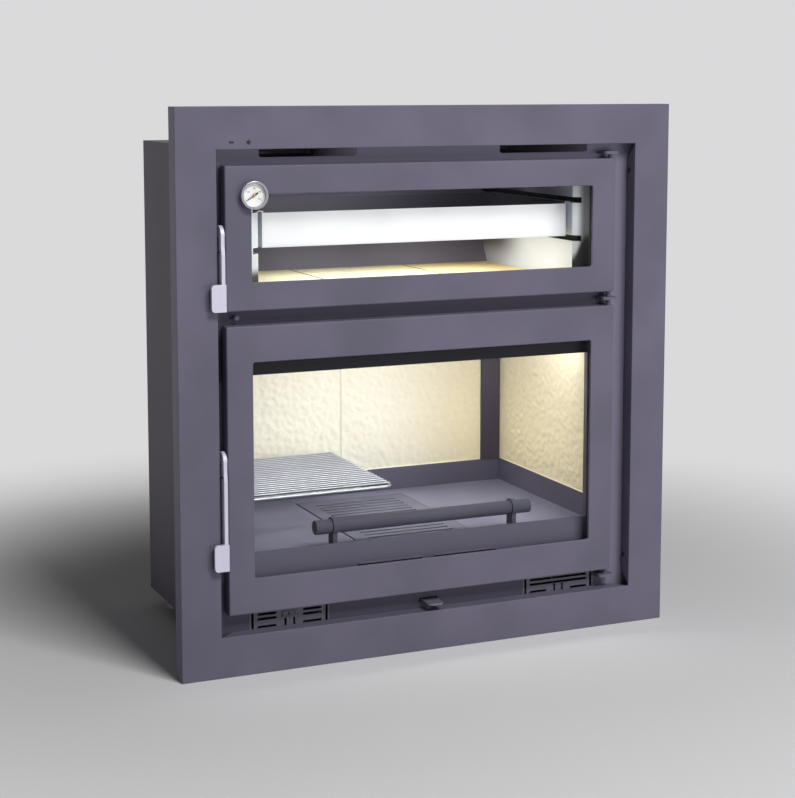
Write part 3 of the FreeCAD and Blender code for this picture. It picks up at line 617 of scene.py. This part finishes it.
@dataclass(frozen=True)
class TrayEnamel(Finish):
    """A tray of pale satin sheet, dark on the inside, with painted shadow on the rims that hide in the wall
    slots.
    """

    solid: str
    outside: Colour
    inside: Colour
    half_width: float = 0.290
    # Beyond this half-width the rims in the wall slots take the dark tone: painted shadow.
    rim: float = 0.298
    sheet: float = 0.002
    roughness: float = 0.42

    def make(self) -> Material:
        """Build the two-toned sheet.

        Returns:
            The material.
        """
        g = self.graph()
        low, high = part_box(self.solid)
        x, y, z = g.axes()
        inset = self.sheet / 2
        edge = inset / 4
        side = self.half_width - inset
        within = 1.0 - x.size().ramp(side - edge, side + edge)
        behind = y.ramp(low.y + inset - edge, low.y + inset + edge)
        before = 1.0 - y.ramp(high.y - inset - edge, high.y - inset + edge)
        above = z.ramp(low.z + inset - edge, low.z + inset + edge)
        # Dark inside the tray, and painted shadow on the rims that hide in the wall slots.
        inner = within * behind * before * above + x.size().ramp(self.rim - edge, self.rim + edge)
        smears = g.noise(0.07, 4.0)
        bright = g.mix(smears.ramp(0.4, 0.8) * 0.5, self.outside, shade(self.outside, 0.88))
        return g.surface(
            Base_Color=g.mix(inner, bright, self.inside),
            Roughness=self.roughness + (smears - 0.5) * 0.15,
            Metallic=0.25 - inner * 0.25,
            Normal=g.satin(),
        )


@dataclass(frozen=True)
class PrintedFace(Finish):
    """Lacquer or ink with a faint bloom."""

    tone: Colour
    roughness: float = 0.35

    def make(self) -> Material:
        """Build the face.

        Returns:
            The material.
        """
        g = self.graph()
        bloom = g.noise(0.006)
        tone = g.mix(bloom.ramp(0.4, 0.8) * 0.4, self.tone, shade(self.tone, 0.9))
        return g.surface(Base_Color=tone, Roughness=self.roughness + (bloom - 0.5) * 0.15)


BODY_PAINT = HeatPaint("body_paint", (0.122, 0.113, 0.158))
# A little darker than the body paint: painted shade for the plate recessed behind the doors and frame.
FACE_PAINT = FacePaint("face_plate_paint", (0.117, 0.108, 0.151))
CASING_PAINT = HeatPaint("casing_paint", (0.098, 0.087, 0.112), roughness=0.6, cloud=0.22, dusty=0.14)
HEARTH_PAINT = HeatPaint("hearth_paint", (0.194, 0.191, 0.278), roughness=0.52, cloud=0.12, dusty=0.12)
BAR_PAINT = HeatPaint("log_bar_paint", (0.076, 0.073, 0.104), roughness=0.52)
POST_PAINT = HeatPaint("corner_post_paint", (0.060, 0.053, 0.075), roughness=0.6)
RIM_PAINT = HeatPaint("hearth_rim_paint", (0.118, 0.113, 0.162), roughness=0.52)
DARK_PAINT = HeatPaint("oven_dark_paint", (0.158, 0.145, 0.197), roughness=0.6)
GRILLE_PAINT = HeatPaint("grille_paint", (0.118, 0.113, 0.14), roughness=0.55)
# Black guides; where they show through the wall slots their black also stands in for the slots' shade, so it
# is partly painted shade.
BLACK_PAINT = HeatPaint("rail_black", (0.016, 0.014, 0.015), roughness=0.5)
ASH_PAINT = HeatPaint("ash_pan_black", (0.05, 0.05, 0.054), roughness=0.65, dusty=0.3)
SCREW_BLACK = SheetSteel("blackened_screw", (0.05, 0.05, 0.055), roughness=0.4, metallic=0.8, streak=0.004)
GRATE_IRON = CastFinish("grate_iron", (0.172, 0.172, 0.240))
MOTOR_LACQUER = CastFinish("motor_lacquer", (0.07, 0.07, 0.075), pebble=0.002)
PLATED = SheetSteel("zinc_plated", (0.5, 0.5, 0.53), roughness=0.32, streak=0.02)
TAB_STEEL = SheetSteel("air_tab_satin", (0.165, 0.16, 0.205), roughness=0.5, metallic=0.2, streak=0.03)
LEVER_SATIN = SheetSteel("lever_satin", (0.62, 0.61, 0.73), roughness=0.5, metallic=0.2, along=UPRIGHT_GRAIN)
OVEN_STEEL = OvenSteel("oven_stainless", (0.82, 0.87, 1.0), (0.16, 0.13, 0.125))
THROAT_STEEL = MouthSteel("oven_mouth_steel", (0.80, 0.83, 0.87), (0.02, 0.017, 0.02))
TRAY = TrayEnamel("oven_tray_sheet", "oven_tray", (0.86, 0.86, 0.88), (0.105, 0.1, 0.125))
GRILL_CHROME = Chrome("grill_chrome", (0.37, 0.38, 0.42), roughness=0.34, grain=0.05)
GAUGE_CHROME = Chrome("gauge_chrome", (0.47, 0.48, 0.51), roughness=0.26)
# Far darker than new zinc: painted shade for the blower parts seen through the grille slots.
SHADED_GALVANISED = Galvanised("shaded_blower_galvanised", (0.16, 0.16, 0.17))
# For the boards round the fire, the warmer right end and the darker top are painted shade.
LINING = PressedBoard(
    "lining_vermiculite", (0.94, 0.92, 0.82), stain=(0.86, 0.79, 0.58), stained=0.3,
    toast=(0.88, 0.75, 0.44), toasted=1.0, smoked=0.58,
)
# For the tiles, the warmer, darker right end is painted shade.
TILE = PressedBoard(
    "oven_tile", (0.90, 0.84, 0.62), stain=(0.80, 0.68, 0.42), stained=0.4,
    toast=(0.85, 0.60, 0.20), toasted=0.9, end=(-0.05, 0.28), joint=0.117, flake=0.0026, depth=0.0002,
)
PANE = ClearGlass("door_glass")
LENS = ClearGlass("gauge_lens_glass", tint=(0.99, 0.99, 0.99), haze=0.01)
ROPE = BraidedRope("door_rope")
DIAL_WHITE = PrintedFace("dial_white", (0.86, 0.86, 0.85))
PRINT_BLACK = PrintedFace("print_black", (0.012, 0.012, 0.013))
PRINT_GREY = PrintedFace("print_grey", (0.16, 0.16, 0.17))
HUB_ORANGE = PrintedFace("needle_hub_orange", (0.75, 0.36, 0.05))
NEEDLE_BLACK = PrintedFace("needle_black", (0.012, 0.012, 0.014))


class Palette:
    """Makes each finish once and puts it on pieces."""

    def __init__(self) -> None:
        """Start with no material made."""
        self.made: dict[str, Material] = {}

    def coat(self, piece: Object, finish: Finish) -> None:
        """Give a piece one finish all over.

        Args:
            piece: The piece.
            finish: The finish, whose material is made at its first use.
        """
        if finish.name not in self.made:
            self.made[finish.name] = finish.make()
        piece.data.materials.clear()
        piece.data.materials.append(self.made[finish.name])


class Bench:
    """Hand tools that model the new pieces."""

    @staticmethod
    def clear() -> None:
        """Leave edit mode and select nothing."""
        if bpy.context.object and bpy.context.object.mode != "OBJECT":
            bpy.ops.object.mode_set(mode="OBJECT")
        bpy.ops.object.select_all(action="DESELECT")

    @staticmethod
    def named(name: str) -> Object:
        """Name the piece that was just added.

        Args:
            name: Its name.

        Returns:
            The piece.
        """
        piece = bpy.context.object
        piece.name = name
        piece.data.name = name
        return piece

    @staticmethod
    def settle(piece: Object) -> Object:
        """Put a piece's place, turn and scale into its mesh.

        Args:
            piece: The piece.

        Returns:
            The piece, at the origin.
        """
        Bench.clear()
        bpy.context.view_layer.objects.active = piece
        piece.select_set(True)
        bpy.ops.object.transform_apply(location=True, rotation=True, scale=True)
        return piece

    @staticmethod
    def pick(piece: Object, test: Test) -> None:
        """Go to edit mode with the faces selected that pass a test.

        Args:
            piece: A settled piece.
            test: Takes a face's middle and its normal.
        """
        bpy.ops.object.mode_set(mode="EDIT")
        bpy.ops.mesh.select_mode(type="FACE")
        bpy.ops.mesh.select_all(action="DESELECT")
        bpy.ops.object.mode_set(mode="OBJECT")
        for face in piece.data.polygons:
            face.select = test(face.center, face.normal)
        bpy.ops.object.mode_set(mode="EDIT")

    @staticmethod
    def soften(piece: Object, radius: float, steps: int = 2) -> None:
        """Round all sharp edges and shade the piece smoothly.

        Args:
            piece: The piece.
            radius: Radius of the rounding.
            steps: Faces across it.
        """
        Bench.clear()
        bpy.context.view_layer.objects.active = piece
        piece.select_set(True)
        bevel = piece.modifiers.new("rounding", "BEVEL")
        bevel.width = radius
        bevel.segments = steps
        bevel.limit_method = "ANGLE"
        bpy.ops.object.modifier_apply(modifier=bevel.name)
        bpy.ops.object.shade_smooth_by_angle(angle=SMOOTH_BELOW)

    @staticmethod
    def block(name: str, low: Point, high: Point) -> Object:
        """A block between two corners.

        Args:
            name: Name of the piece.
            low: Its lowest corner.
            high: Its highest corner.

        Returns:
            The settled block.
        """
        Bench.clear()
        middle = (Vector(low) + Vector(high)) / 2
        bpy.ops.mesh.primitive_cube_add(size=1.0, location=middle)
        piece = Bench.named(name)
        piece.scale = Vector(high) - Vector(low)
        return Bench.settle(piece)

    @staticmethod
    def disc(name: str, centre: Point, radius: float, depth: float, sides: int = 64) -> Object:
        """A round plate that faces the front.

        Args:
            name: Name of the piece.
            centre: Middle of its back face.
            radius: Its radius.
            depth: Its thickness, towards the front.
            sides: Corners of its outline.

        Returns:
            The settled plate.
        """
        Bench.clear()
        middle = Vector(centre) - Vector((0.0, depth / 2, 0.0))
        bpy.ops.mesh.primitive_cylinder_add(
            vertices=sides, radius=radius, depth=depth, location=middle, rotation=(math.pi / 2, 0.0, 0.0)
        )
        return Bench.settle(Bench.named(name))

    @staticmethod
    def merge(name: str, pieces: list[Object]) -> Object:
        """Make several pieces one.

        Args:
            name: Name of the result.
            pieces: The pieces.

        Returns:
            The joined piece.
        """
        Bench.clear()
        for piece in pieces:
            piece.select_set(True)
        bpy.context.view_layer.objects.active = pieces[0]
        bpy.ops.object.join()
        return Bench.named(name)


@dataclass
class Assembly:
    """A sub-assembly, which dresses its solids and adds the pieces that they lack."""

    palette: Palette

    def dress(self, finish: Finish, *names: str) -> None:
        """Give solids of the frame one finish.

        Args:
            finish: The finish.
            *names: The solids' names.
        """
        for name in names:
            self.palette.coat(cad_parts[name], finish)
            LOG.info("dressed %s in %s", name, finish.name)

    def fit(self, piece: Object, finish: Finish, body: Body, slot: str, *stands_for: str) -> None:
        """Give a new piece its finish and let it ride on a body.

        Args:
            piece: The piece.
            finish: Its finish.
            body: The body it moves with.
            slot: The record's material slot. It is not used.
            *stands_for: Solids of the frame that it replaces.
        """
        self.palette.coat(piece, finish)
        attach(piece, body.value)
        if stands_for:
            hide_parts(*stands_for)
        LOG.info("built %s on %s", piece.name, body.value)


@dataclass
class TrimFrame(Assembly):
    """The front frame with the signs for less and more air in its top member."""

    less_x: float = -0.3656
    more_x: float = -0.3363
    sign_z: float = 0.8922
    reach: float = 0.004
    stroke: float = 0.0017
    proud: float = 0.00025
    edge: float = 0.0001

    def bar(self, name: str, x: float) -> Object:
        """A short flat bar on the frame's face.

        Args:
            name: Name of the piece.
            x: Its middle.

        Returns:
            The bar.
        """
        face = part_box("front_frame")[0].y
        low = (x - self.reach, face - self.proud, self.sign_z - self.stroke)
        return Bench.block(name, low, (x + self.reach, face, self.sign_z + self.stroke))

    def less_sign(self) -> Object:
        """The minus: one bar."""
        return self.bar("less_air_sign", self.less_x)

    def more_sign(self) -> Object:
        """The plus: the middle of a bar pulled up and down.

        Returns:
            The sign.
        """
        sign = self.bar("more_air_sign", self.more_x)
        Bench.pick(sign, lambda middle, normal: True)
        bpy.ops.mesh.bisect(plane_co=(self.more_x - self.stroke, 0, 0), plane_no=(1, 0, 0))
        bpy.ops.mesh.select_all(action="SELECT")
        bpy.ops.mesh.bisect(plane_co=(self.more_x + self.stroke, 0, 0), plane_no=(1, 0, 0))
        for way in (1.0, -1.0):
            Bench.pick(
                sign,
                lambda middle, normal, way=way: normal.z * way > FACING
                and abs(middle.x - self.more_x) < self.stroke,
            )
            move = {"value": (0.0, 0.0, way * (self.reach - self.stroke))}
            bpy.ops.mesh.extrude_region_move(TRANSFORM_OT_translate=move)
        return sign

    def build(self) -> None:
        """Dress the frame and set the signs on it."""
        self.dress(BODY_PAINT, "front_frame", "hinge_lugs", "hinge_pins", "latch_keepers")
        self.dress(FACE_PAINT, "face_plate")
        self.dress(SCREW_BLACK, "frame_screws")
        for sign in (self.less_sign(), self.more_sign()):
            Bench.soften(sign, self.edge)
            self.fit(sign, PRINT_BLACK, Body.INSERT, "needle_black")


class Casing(Assembly):
    """The sheet casing that goes into the wall, its flue collar and its feet."""

    def build(self) -> None:
        """Dress the casing."""
        sheets = ("casing_sides", "casing_back", "casing_top", "casing_base", "flue_collar", "smoke_top")
        self.dress(CASING_PAINT, *sheets)
        self.dress(PLATED, "levelling_feet", "air_lever", "air_lever_stud")
        self.dress(TAB_STEEL, "air_slide")


@dataclass
class Blowers(Assembly):
    """Two drum blowers behind slotted plates, the left one with a small heat switch."""

    switch_x: float = -0.2618
    switch_z: float = 0.0890
    width: float = 0.024
    height: float = 0.0098
    proud: float = 0.0022
    rim: float = 0.0014
    sunk: float = 0.0011
    button: float = 0.0022
    button_thick: float = 0.00176
    button_sides: int = 24
    holder_edge: float = 0.0003
    button_edge: float = 0.0005

    def heat_switch(self) -> list[Object]:
        """A flat oblong holder with a raised rim, and the button in it.

        Returns:
            The holder and the button.
        """
        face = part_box("fan_grilles")[0].y
        half = Vector((self.width / 2, 0.0, self.height / 2))
        centre = Vector((self.switch_x, face, self.switch_z))
        low = centre - half - Vector((0.0, self.proud, 0.0))
        holder = Bench.block("heat_switch_holder", low, centre + half)
        Bench.pick(holder, lambda middle, normal: normal.y < -FACING)
        bpy.ops.mesh.inset(thickness=self.rim)
        bpy.ops.mesh.extrude_region_move(TRANSFORM_OT_translate={"value": (0.0, self.sunk, 0.0)})
        Bench.soften(holder, self.holder_edge)
        back = centre - Vector((0.0, self.sunk, 0.0))
        button = Bench.disc("heat_switch_button", back, self.button, self.button_thick, self.button_sides)
        Bench.soften(button, self.button_edge)
        return [holder, button]

    def build(self) -> None:
        """Dress the blowers and add the switch."""
        self.dress(GRILLE_PAINT, "fan_grilles")
        self.dress(SHADED_GALVANISED, "blower_housings", "impeller_left", "impeller_right")
        self.dress(MOTOR_LACQUER, "blower_motors")
        holder, button = self.heat_switch()
        self.fit(holder, GRILLE_PAINT, Body.INSERT, "grille_paint")
        self.fit(button, SCREW_BLACK, Body.INSERT, "black_screws")


class FireChamber(Assembly):
    """The lined chamber with its hearth, grate, ash box, log bar and cooking grill."""

    def build(self) -> None:
        """Dress the chamber."""
        walls = ("fire_side_walls", "fire_back_wall", "oven_floor_plate", "fire_jambs", "ash_box")
        self.dress(CASING_PAINT, *walls)
        self.dress(POST_PAINT, "panel_posts")
        self.dress(HEARTH_PAINT, "hearth_plate")
        self.dress(BAR_PAINT, "log_bar", "log_posts")
        self.dress(RIM_PAINT, "hearth_rims")
        self.dress(GRATE_IRON, "fire_grate")
        self.dress(LINING, "baffle_plate")
        self.dress(ASH_PAINT, "ash_pan")
        self.dress(GRILL_CHROME, "cooking_grill", "grill_bracket")


@dataclass
class Lining(Assembly):
    """The cream boards round the fire, with a hammered relief pressed into their faces."""

    joint: float = 0.0004
    bevel: float = 0.0007
    relief: float = 0.0040
    dimple: float = 0.0085
    layers: int = 2
    cuts: int = 150

    def board(self, name: str, low: Vector, high: Vector, facing: Vector) -> Object:
        """One board: the face towards the fire is chamfered, cut fine and hammered.

        Args:
            name: Name of the piece.
            low: Lowest corner of the board.
            high: Highest corner of the board.
            facing: Direction towards the fire.

        Returns:
            The board.
        """
        sunk = facing * self.bevel
        low = low - Vector(min(0.0, c) for c in sunk)
        high = high - Vector(max(0.0, c) for c in sunk)
        board = Bench.block(name, low, high)
        Bench.pick(board, lambda middle, normal: normal.dot(facing) > FACING)
        bpy.ops.mesh.inset(thickness=self.bevel)
        bpy.ops.transform.translate(value=sunk)
        bpy.ops.mesh.subdivide(number_cuts=self.cuts)
        bpy.ops.object.vertex_group_add()
        bpy.ops.object.vertex_group_assign()
        bpy.ops.object.mode_set(mode="OBJECT")
        texture = bpy.data.textures.new("hammered", "CLOUDS")
        texture.noise_scale = self.dimple
        texture.noise_depth = self.layers
        press = board.modifiers.new("hammered", "DISPLACE")
        press.texture = texture
        press.texture_coords = "LOCAL"
        press.vertex_group = board.vertex_groups[0].name
        press.mid_level = 1.0
        press.strength = self.relief
        bpy.ops.object.modifier_apply(modifier=press.name)
        bpy.ops.object.shade_smooth_by_angle(angle=SMOOTH_BELOW)
        return board

    def build(self) -> None:
        """Press the boards and set them in place of the plain panels."""
        low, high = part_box("back_panels")
        thick = high.y - low.y
        front = Vector((0.0, -1.0, 0.0))
        left = self.board("back_board_left", low, Vector((-self.joint, high.y, high.z)), front)
        right = self.board("back_board_right", Vector((self.joint, low.y, low.z)), high, front)
        backs = Bench.merge("lining_back_boards", [left, right])
        low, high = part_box("side_panels")
        rightwards = Vector((1.0, 0.0, 0.0))
        left = self.board("side_board_left", low, Vector((low.x + thick, high.y, high.z)), rightwards)
        right = self.board("side_board_right", Vector((high.x - thick, low.y, low.z)), high, -rightwards)
        sides = Bench.merge("lining_side_boards", [left, right])
        for boards, solid in ((backs, "back_panels"), (sides, "side_panels")):
            self.fit(boards, LINING, Body.INSERT, "vermiculite", solid)


class Oven(Assembly):
    """The steel oven with its tiled floor, slotted walls, guides and deep tray."""

    def build(self) -> None:
        """Dress the oven."""
        self.dress(OVEN_STEEL, "oven_side_walls")
        self.dress(THROAT_STEEL, "oven_throat")
        self.dress(TRAY, "oven_tray")
        self.dress(DARK_PAINT, "oven_back", "oven_back_foot", "oven_roof")
        self.dress(TILE, "oven_tiles")
        self.dress(BLACK_PAINT, "oven_rails")


@dataclass
class Door(Assembly):
    """A framed glass door with its lever and the rope that seals it."""

    name: str
    body: Body
    rope_width: float = 0.010
    corner: float = 0.012
    sides: int = 16
    turns: int = 8
    weld: float = 0.0001

    def rope(self) -> Object:
        """A flattened rope round the door's back: a ring pushed along the runs and spun at the corners.

        Returns:
            The closed rope.
        """
        low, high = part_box(f"{self.name}_door_gasket")
        half_wide = self.rope_width / 2
        half_deep = (high.y - low.y) / 2
        y = (low.y + high.y) / 2
        left, right = low.x + half_wide, high.x - half_wide
        bottom, top = low.z + half_wide, high.z - half_wide
        r = self.corner
        Bench.clear()
        start = (left + r, y, bottom)
        bpy.ops.mesh.primitive_circle_add(
            vertices=self.sides, radius=1.0, location=start, rotation=(0.0, math.pi / 2, 0.0)
        )
        rope = Bench.named(f"{self.name}_door_rope")
        rope.scale = (half_wide, half_deep, 1.0)
        Bench.settle(rope)
        bpy.ops.object.mode_set(mode="EDIT")
        bpy.ops.mesh.select_all(action="SELECT")
        runs = [
            ((right - left - 2 * r, 0.0, 0.0), (right - r, y, bottom + r)),
            ((0.0, 0.0, top - bottom - 2 * r), (right - r, y, top - r)),
            ((left - right + 2 * r, 0.0, 0.0), (left + r, y, top - r)),
            ((0.0, 0.0, bottom - top + 2 * r), (left + r, y, bottom + r)),
        ]
        for run, pivot in runs:
            bpy.ops.mesh.extrude_region_move(TRANSFORM_OT_translate={"value": run})
            bpy.ops.mesh.spin(steps=self.turns, angle=-math.pi / 2, center=pivot, axis=(0.0, 1.0, 0.0))
        bpy.ops.mesh.select_all(action="SELECT")
        bpy.ops.mesh.remove_doubles(threshold=self.weld)
        bpy.ops.mesh.normals_make_consistent(inside=False)
        bpy.ops.object.mode_set(mode="OBJECT")
        bpy.ops.object.shade_smooth()
        return rope

    def build(self) -> None:
        """Dress the door and lay its rope."""
        self.dress(BODY_PAINT, f"{self.name}_door_frame")
        self.dress(PANE, f"{self.name}_door_glass")
        self.dress(PLATED, f"{self.name}_glass_clips")
        self.dress(LEVER_SATIN, f"{self.name}_lever")
        self.fit(self.rope(), ROPE, self.body, "rope", f"{self.name}_door_gasket")


@dataclass
class Thermometer(Assembly):
    """The dial gauge in the oven door: white face, scale, numbers and the needle's hub."""

    floor_depth: float = 0.006
    face_radius: float = 0.0192
    face_thick: float = 0.0004
    ink: float = 0.00015
    sweep: float = math.radians(246.0)
    top_reading: int = 400
    number_step: int = 100
    small_step: int = 20
    number_size: float = 0.0034
    number_radius: float = 0.0112
    rim_step: float = 0.0016
    face_edge: float = 0.00006
    margin: float = 0.0022
    long_stroke: Span = (0.0006, 0.0030)
    short_stroke: Span = (0.0004, 0.0015)
    cap_radius: float = 0.0017
    cap_thick: float = 0.0006
    cap_dome: float = 0.0003
    cap_edge: float = 0.0001
    cap_sides: int = 32

    def centre(self) -> Vector:
        """Middle of the case's floor."""
        low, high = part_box("gauge_case")
        return Vector(((low.x + high.x) / 2, low.y + self.floor_depth, (low.z + high.z) / 2))

    def angle(self, reading: float) -> float:
        """Clockwise angle from the top for a reading on the scale."""
        return (reading / self.top_reading - 0.5) * self.sweep

    def face(self) -> Object:
        """The white plate, sunk a little inside its rim.

        Returns:
            The plate.
        """
        plate = Bench.disc("dial_face", self.centre(), self.face_radius, self.face_thick)
        Bench.pick(plate, lambda middle, normal: normal.y < -FACING)
        bpy.ops.mesh.inset(thickness=self.rim_step)
        bpy.ops.mesh.extrude_region_move(TRANSFORM_OT_translate={"value": (0.0, self.ink, 0.0)})
        Bench.soften(plate, self.face_edge)
        return plate

    def mark(self, reading: int) -> Object:
        """One stroke of the scale.

        Args:
            reading: Its place on the scale.

        Returns:
            The stroke.
        """
        width, length = self.short_stroke if reading % self.number_step else self.long_stroke
        turn = self.angle(reading)
        middle = self.face_radius - self.margin - length / 2
        place = self.centre() + Vector((math.sin(turn) * middle, -self.face_thick, math.cos(turn) * middle))
        Bench.clear()
        bpy.ops.mesh.primitive_cube_add(size=1.0, location=place, rotation=(0.0, turn, 0.0))
        stroke = Bench.named(f"dial_stroke_{reading}")
        stroke.scale = (width, self.ink * 2, length)
        return Bench.settle(stroke)

    def number(self, reading: int) -> Object:
        """One number of the scale.

        Args:
            reading: The number.

        Returns:
            The number as a thin mesh.
        """
        turn = self.angle(reading)
        offset = Vector((math.sin(turn), 0.0, math.cos(turn))) * self.number_radius
        place = self.centre() + offset - Vector((0.0, self.face_thick, 0.0))
        Bench.clear()
        bpy.ops.object.text_add(location=place, rotation=(math.pi / 2, 0.0, 0.0))
        text = bpy.context.object
        text.data.body = str(reading)
        text.data.size = self.number_size
        text.data.align_x = "CENTER"
        text.data.align_y = "CENTER"
        text.data.extrude = self.ink / 2
        bpy.ops.object.convert(target="MESH")
        return Bench.settle(Bench.named(f"dial_number_{reading}"))

    def hub(self) -> Object:
        """The domed cap on the needle.

        Returns:
            The cap.
        """
        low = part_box("gauge_needle")[0]
        centre = self.centre()
        back = (centre.x, low.y, centre.z)
        cap = Bench.disc("needle_hub_cap", back, self.cap_radius, self.cap_thick, self.cap_sides)
        Bench.pick(cap, lambda middle, normal: normal.y < -FACING)
        bpy.ops.mesh.inset(thickness=self.cap_thick)
        bpy.ops.transform.translate(value=(0.0, -self.cap_dome, 0.0))
        Bench.soften(cap, self.cap_edge)
        return cap

    def build(self) -> None:
        """Dress the gauge and print its face."""
        self.dress(GAUGE_CHROME, "gauge_case")
        self.dress(LENS, "gauge_lens")
        self.dress(NEEDLE_BLACK, "gauge_needle")
        self.fit(self.face(), DIAL_WHITE, Body.OVEN_DOOR, "gauge_chrome")
        readings = range(0, self.top_reading + 1, self.small_step)
        numbered = [reading for reading in readings if reading % self.number_step == 0]
        strokes = Bench.merge("dial_strokes", [self.mark(reading) for reading in readings])
        numbers = Bench.merge("dial_numbers", [self.number(reading) for reading in numbered])
        for printed in (strokes, numbers):
            self.fit(printed, PRINT_GREY, Body.OVEN_DOOR, "needle_black")
        self.fit(self.hub(), HUB_ORANGE, Body.NEEDLE, "needle_black")


@dataclass(frozen=True)
class Lamp:
    """One soft rectangular lamp; without glints it shows in no mirror."""

    name: str
    place: Point
    aim: Point
    size: Span
    power: float
    tone: Colour = (1.0, 1.0, 1.0)
    glints: bool = True

    def build(self) -> None:
        """Hang the lamp and point it."""
        data = bpy.data.lights.new(self.name, "AREA")
        data.shape = "RECTANGLE"
        data.size, data.size_y = self.size
        data.energy = self.power
        data.color = self.tone
        lamp = bpy.data.objects.new(self.name, data)
        lamp.location = self.place
        lamp.rotation_euler = (Vector(self.aim) - Vector(self.place)).to_track_quat("-Z", "Y").to_euler()
        lamp.visible_camera = False
        lamp.visible_glossy = self.glints
        bpy.context.scene.collection.objects.link(lamp)


WARM_WHITE = (1.0, 0.99, 0.97)
TRAY_WHITE = (0.99, 0.99, 1.0)
TILE_WHITE = (0.86, 0.93, 1.0)
WALL_WHITE = (0.90, 0.95, 1.0)
ROOF_WHITE = (0.97, 0.95, 1.0)

# Two lamps stand in the room. The others give the light that shows behind the glass and the slots.
LAMPS = (
    Lamp("key_lamp", (0.8, -4.0, 4.3), (0.0, -0.1, 0.45), (2.2, 1.6), 224.0),
    Lamp("fill_lamp", (1.8, -3.2, 0.45), (0.0, -0.1, 0.40), (1.6, 1.4), 40.0, glints=False),
    Lamp("chamber_lamp", (0.06, -0.06, 0.548), (0.10, 0.15, 0.36), (0.5, 0.1), 2.4, WARM_WHITE),
    Lamp("tray_lamp", (0.0, -0.212, 0.742), (0.0, -0.1, 0.742), (0.6, 0.06), 0.073, TRAY_WHITE),
    Lamp("tile_lamp", (0.02, -0.02, 0.708), (0.02, -0.02, 0.60), (0.46, 0.22), 0.58, TILE_WHITE),
    Lamp("wall_lamp", (0.04, -0.05, 0.690), (0.30, -0.07, 0.676), (0.1, 0.03), 0.12, WALL_WHITE),
    Lamp("roof_lamp", (-0.09, -0.10, 0.832), (-0.12, 0.16, 0.80), (0.36, 0.03), 0.6, ROOF_WHITE),
    Lamp("slot_lamp", (0.0, -0.15, 0.861), (0.0, 0.2, 0.861), (0.7, 0.008), 0.4),
)


@dataclass
class Studio:
    """A pale floor that runs into a pale background, and soft lamps."""

    pale: Colour = (0.70, 0.70, 0.71)
    floor_tone: Colour = (0.74, 0.74, 0.75)
    ambient: float = 0.115
    floor_radius: float = 60.0
    floor_sides: int = 96
    fade_start: float = 0.6
    fade_end: float = 1.7

    def background(self) -> None:
        """Even light from all round; camera, mirrors and glass see the pale tone."""
        g = Graph(bpy.data.worlds.new("studio"))
        camera, mirrored, through = (
            g.value("ShaderNodeLightPath", {}, {}, f"Is {kind} Ray")
            for kind in ("Camera", "Glossy", "Transmission")
        )
        light = g.node("ShaderNodeBackground", {}, {"Strength": self.ambient}).outputs[0]
        shown = g.node("ShaderNodeBackground", {}, {"Color": self.pale}).outputs[0]
        seen = (camera + mirrored + through).ramp(0.0, 1.0)
        bpy.context.scene.world = g.close(g.blend(seen, light, shown), "ShaderNodeOutputWorld")

    def floor_material(self) -> Material:
        """Matt floor that fades to the background's tone with distance.

        Returns:
            The material.
        """
        g = Graph(bpy.data.materials.new("studio_floor"))
        x, y, _ = g.axes()
        fade = (x * x + y * y).root().ramp(self.fade_start, self.fade_end)
        matt = g.node("ShaderNodeBsdfDiffuse", {}, {"Color": self.floor_tone}).outputs[0]
        far = g.node("ShaderNodeEmission", {}, {"Color": self.pale}).outputs[0]
        return g.close(g.blend(fade, matt, far))

    def build(self) -> None:
        """Lay the floor and hang the lamps."""
        bpy.context.scene.view_settings.view_transform = "Standard"
        self.background()
        Bench.clear()
        bpy.ops.mesh.primitive_circle_add(
            vertices=self.floor_sides, radius=self.floor_radius, fill_type="NGON"
        )
        floor = Bench.named("studio_floor")
        floor.data.materials.append(self.floor_material())
        for lamp in LAMPS:
            lamp.build()


@dataclass
class Camera:
    """The viewpoint: left of the front, about level with the top, looking slightly down."""

    place: Point = (-1.28335, -2.97882, 0.98840)
    turn_deg: float = -23.759
    down_deg: float = 6.961
    focal_px: float = 1782.7
    centre_row_px: float = 300.0
    sensor_mm: float = 36.0

    def build(self) -> None:
        """Set up the camera."""
        data = bpy.data.cameras.new("view")
        data.sensor_width = self.sensor_mm
        data.lens = self.focal_px * self.sensor_mm / IMAGE_HEIGHT_PX
        data.shift_y = (self.centre_row_px - IMAGE_HEIGHT_PX / 2) / IMAGE_HEIGHT_PX
        camera = bpy.data.objects.new("view", data)
        camera.location = self.place
        camera.rotation_euler = (math.radians(90.0 - self.down_deg), 0.0, math.radians(self.turn_deg))
        bpy.context.scene.collection.objects.link(camera)
        bpy.context.scene.camera = camera


def main() -> None:
    """Build the camera, the sub-assemblies and the studio in order."""
    logging.basicConfig(level=logging.INFO, format="%(name)s: %(message)s")
    palette = Palette()
    Camera().build()
    parts = [
        TrimFrame(palette),
        Casing(palette),
        Blowers(palette),
        FireChamber(palette),
        Lining(palette),
        Oven(palette),
        Door(palette, "oven", Body.OVEN_DOOR),
        Door(palette, "fire", Body.FIRE_DOOR),
        Thermometer(palette),
        Studio(),
    ]
    for part in parts:
        part.build()
        LOG.info("finished %s", type(part).__name__)


if __name__ == "__main__":
    main()
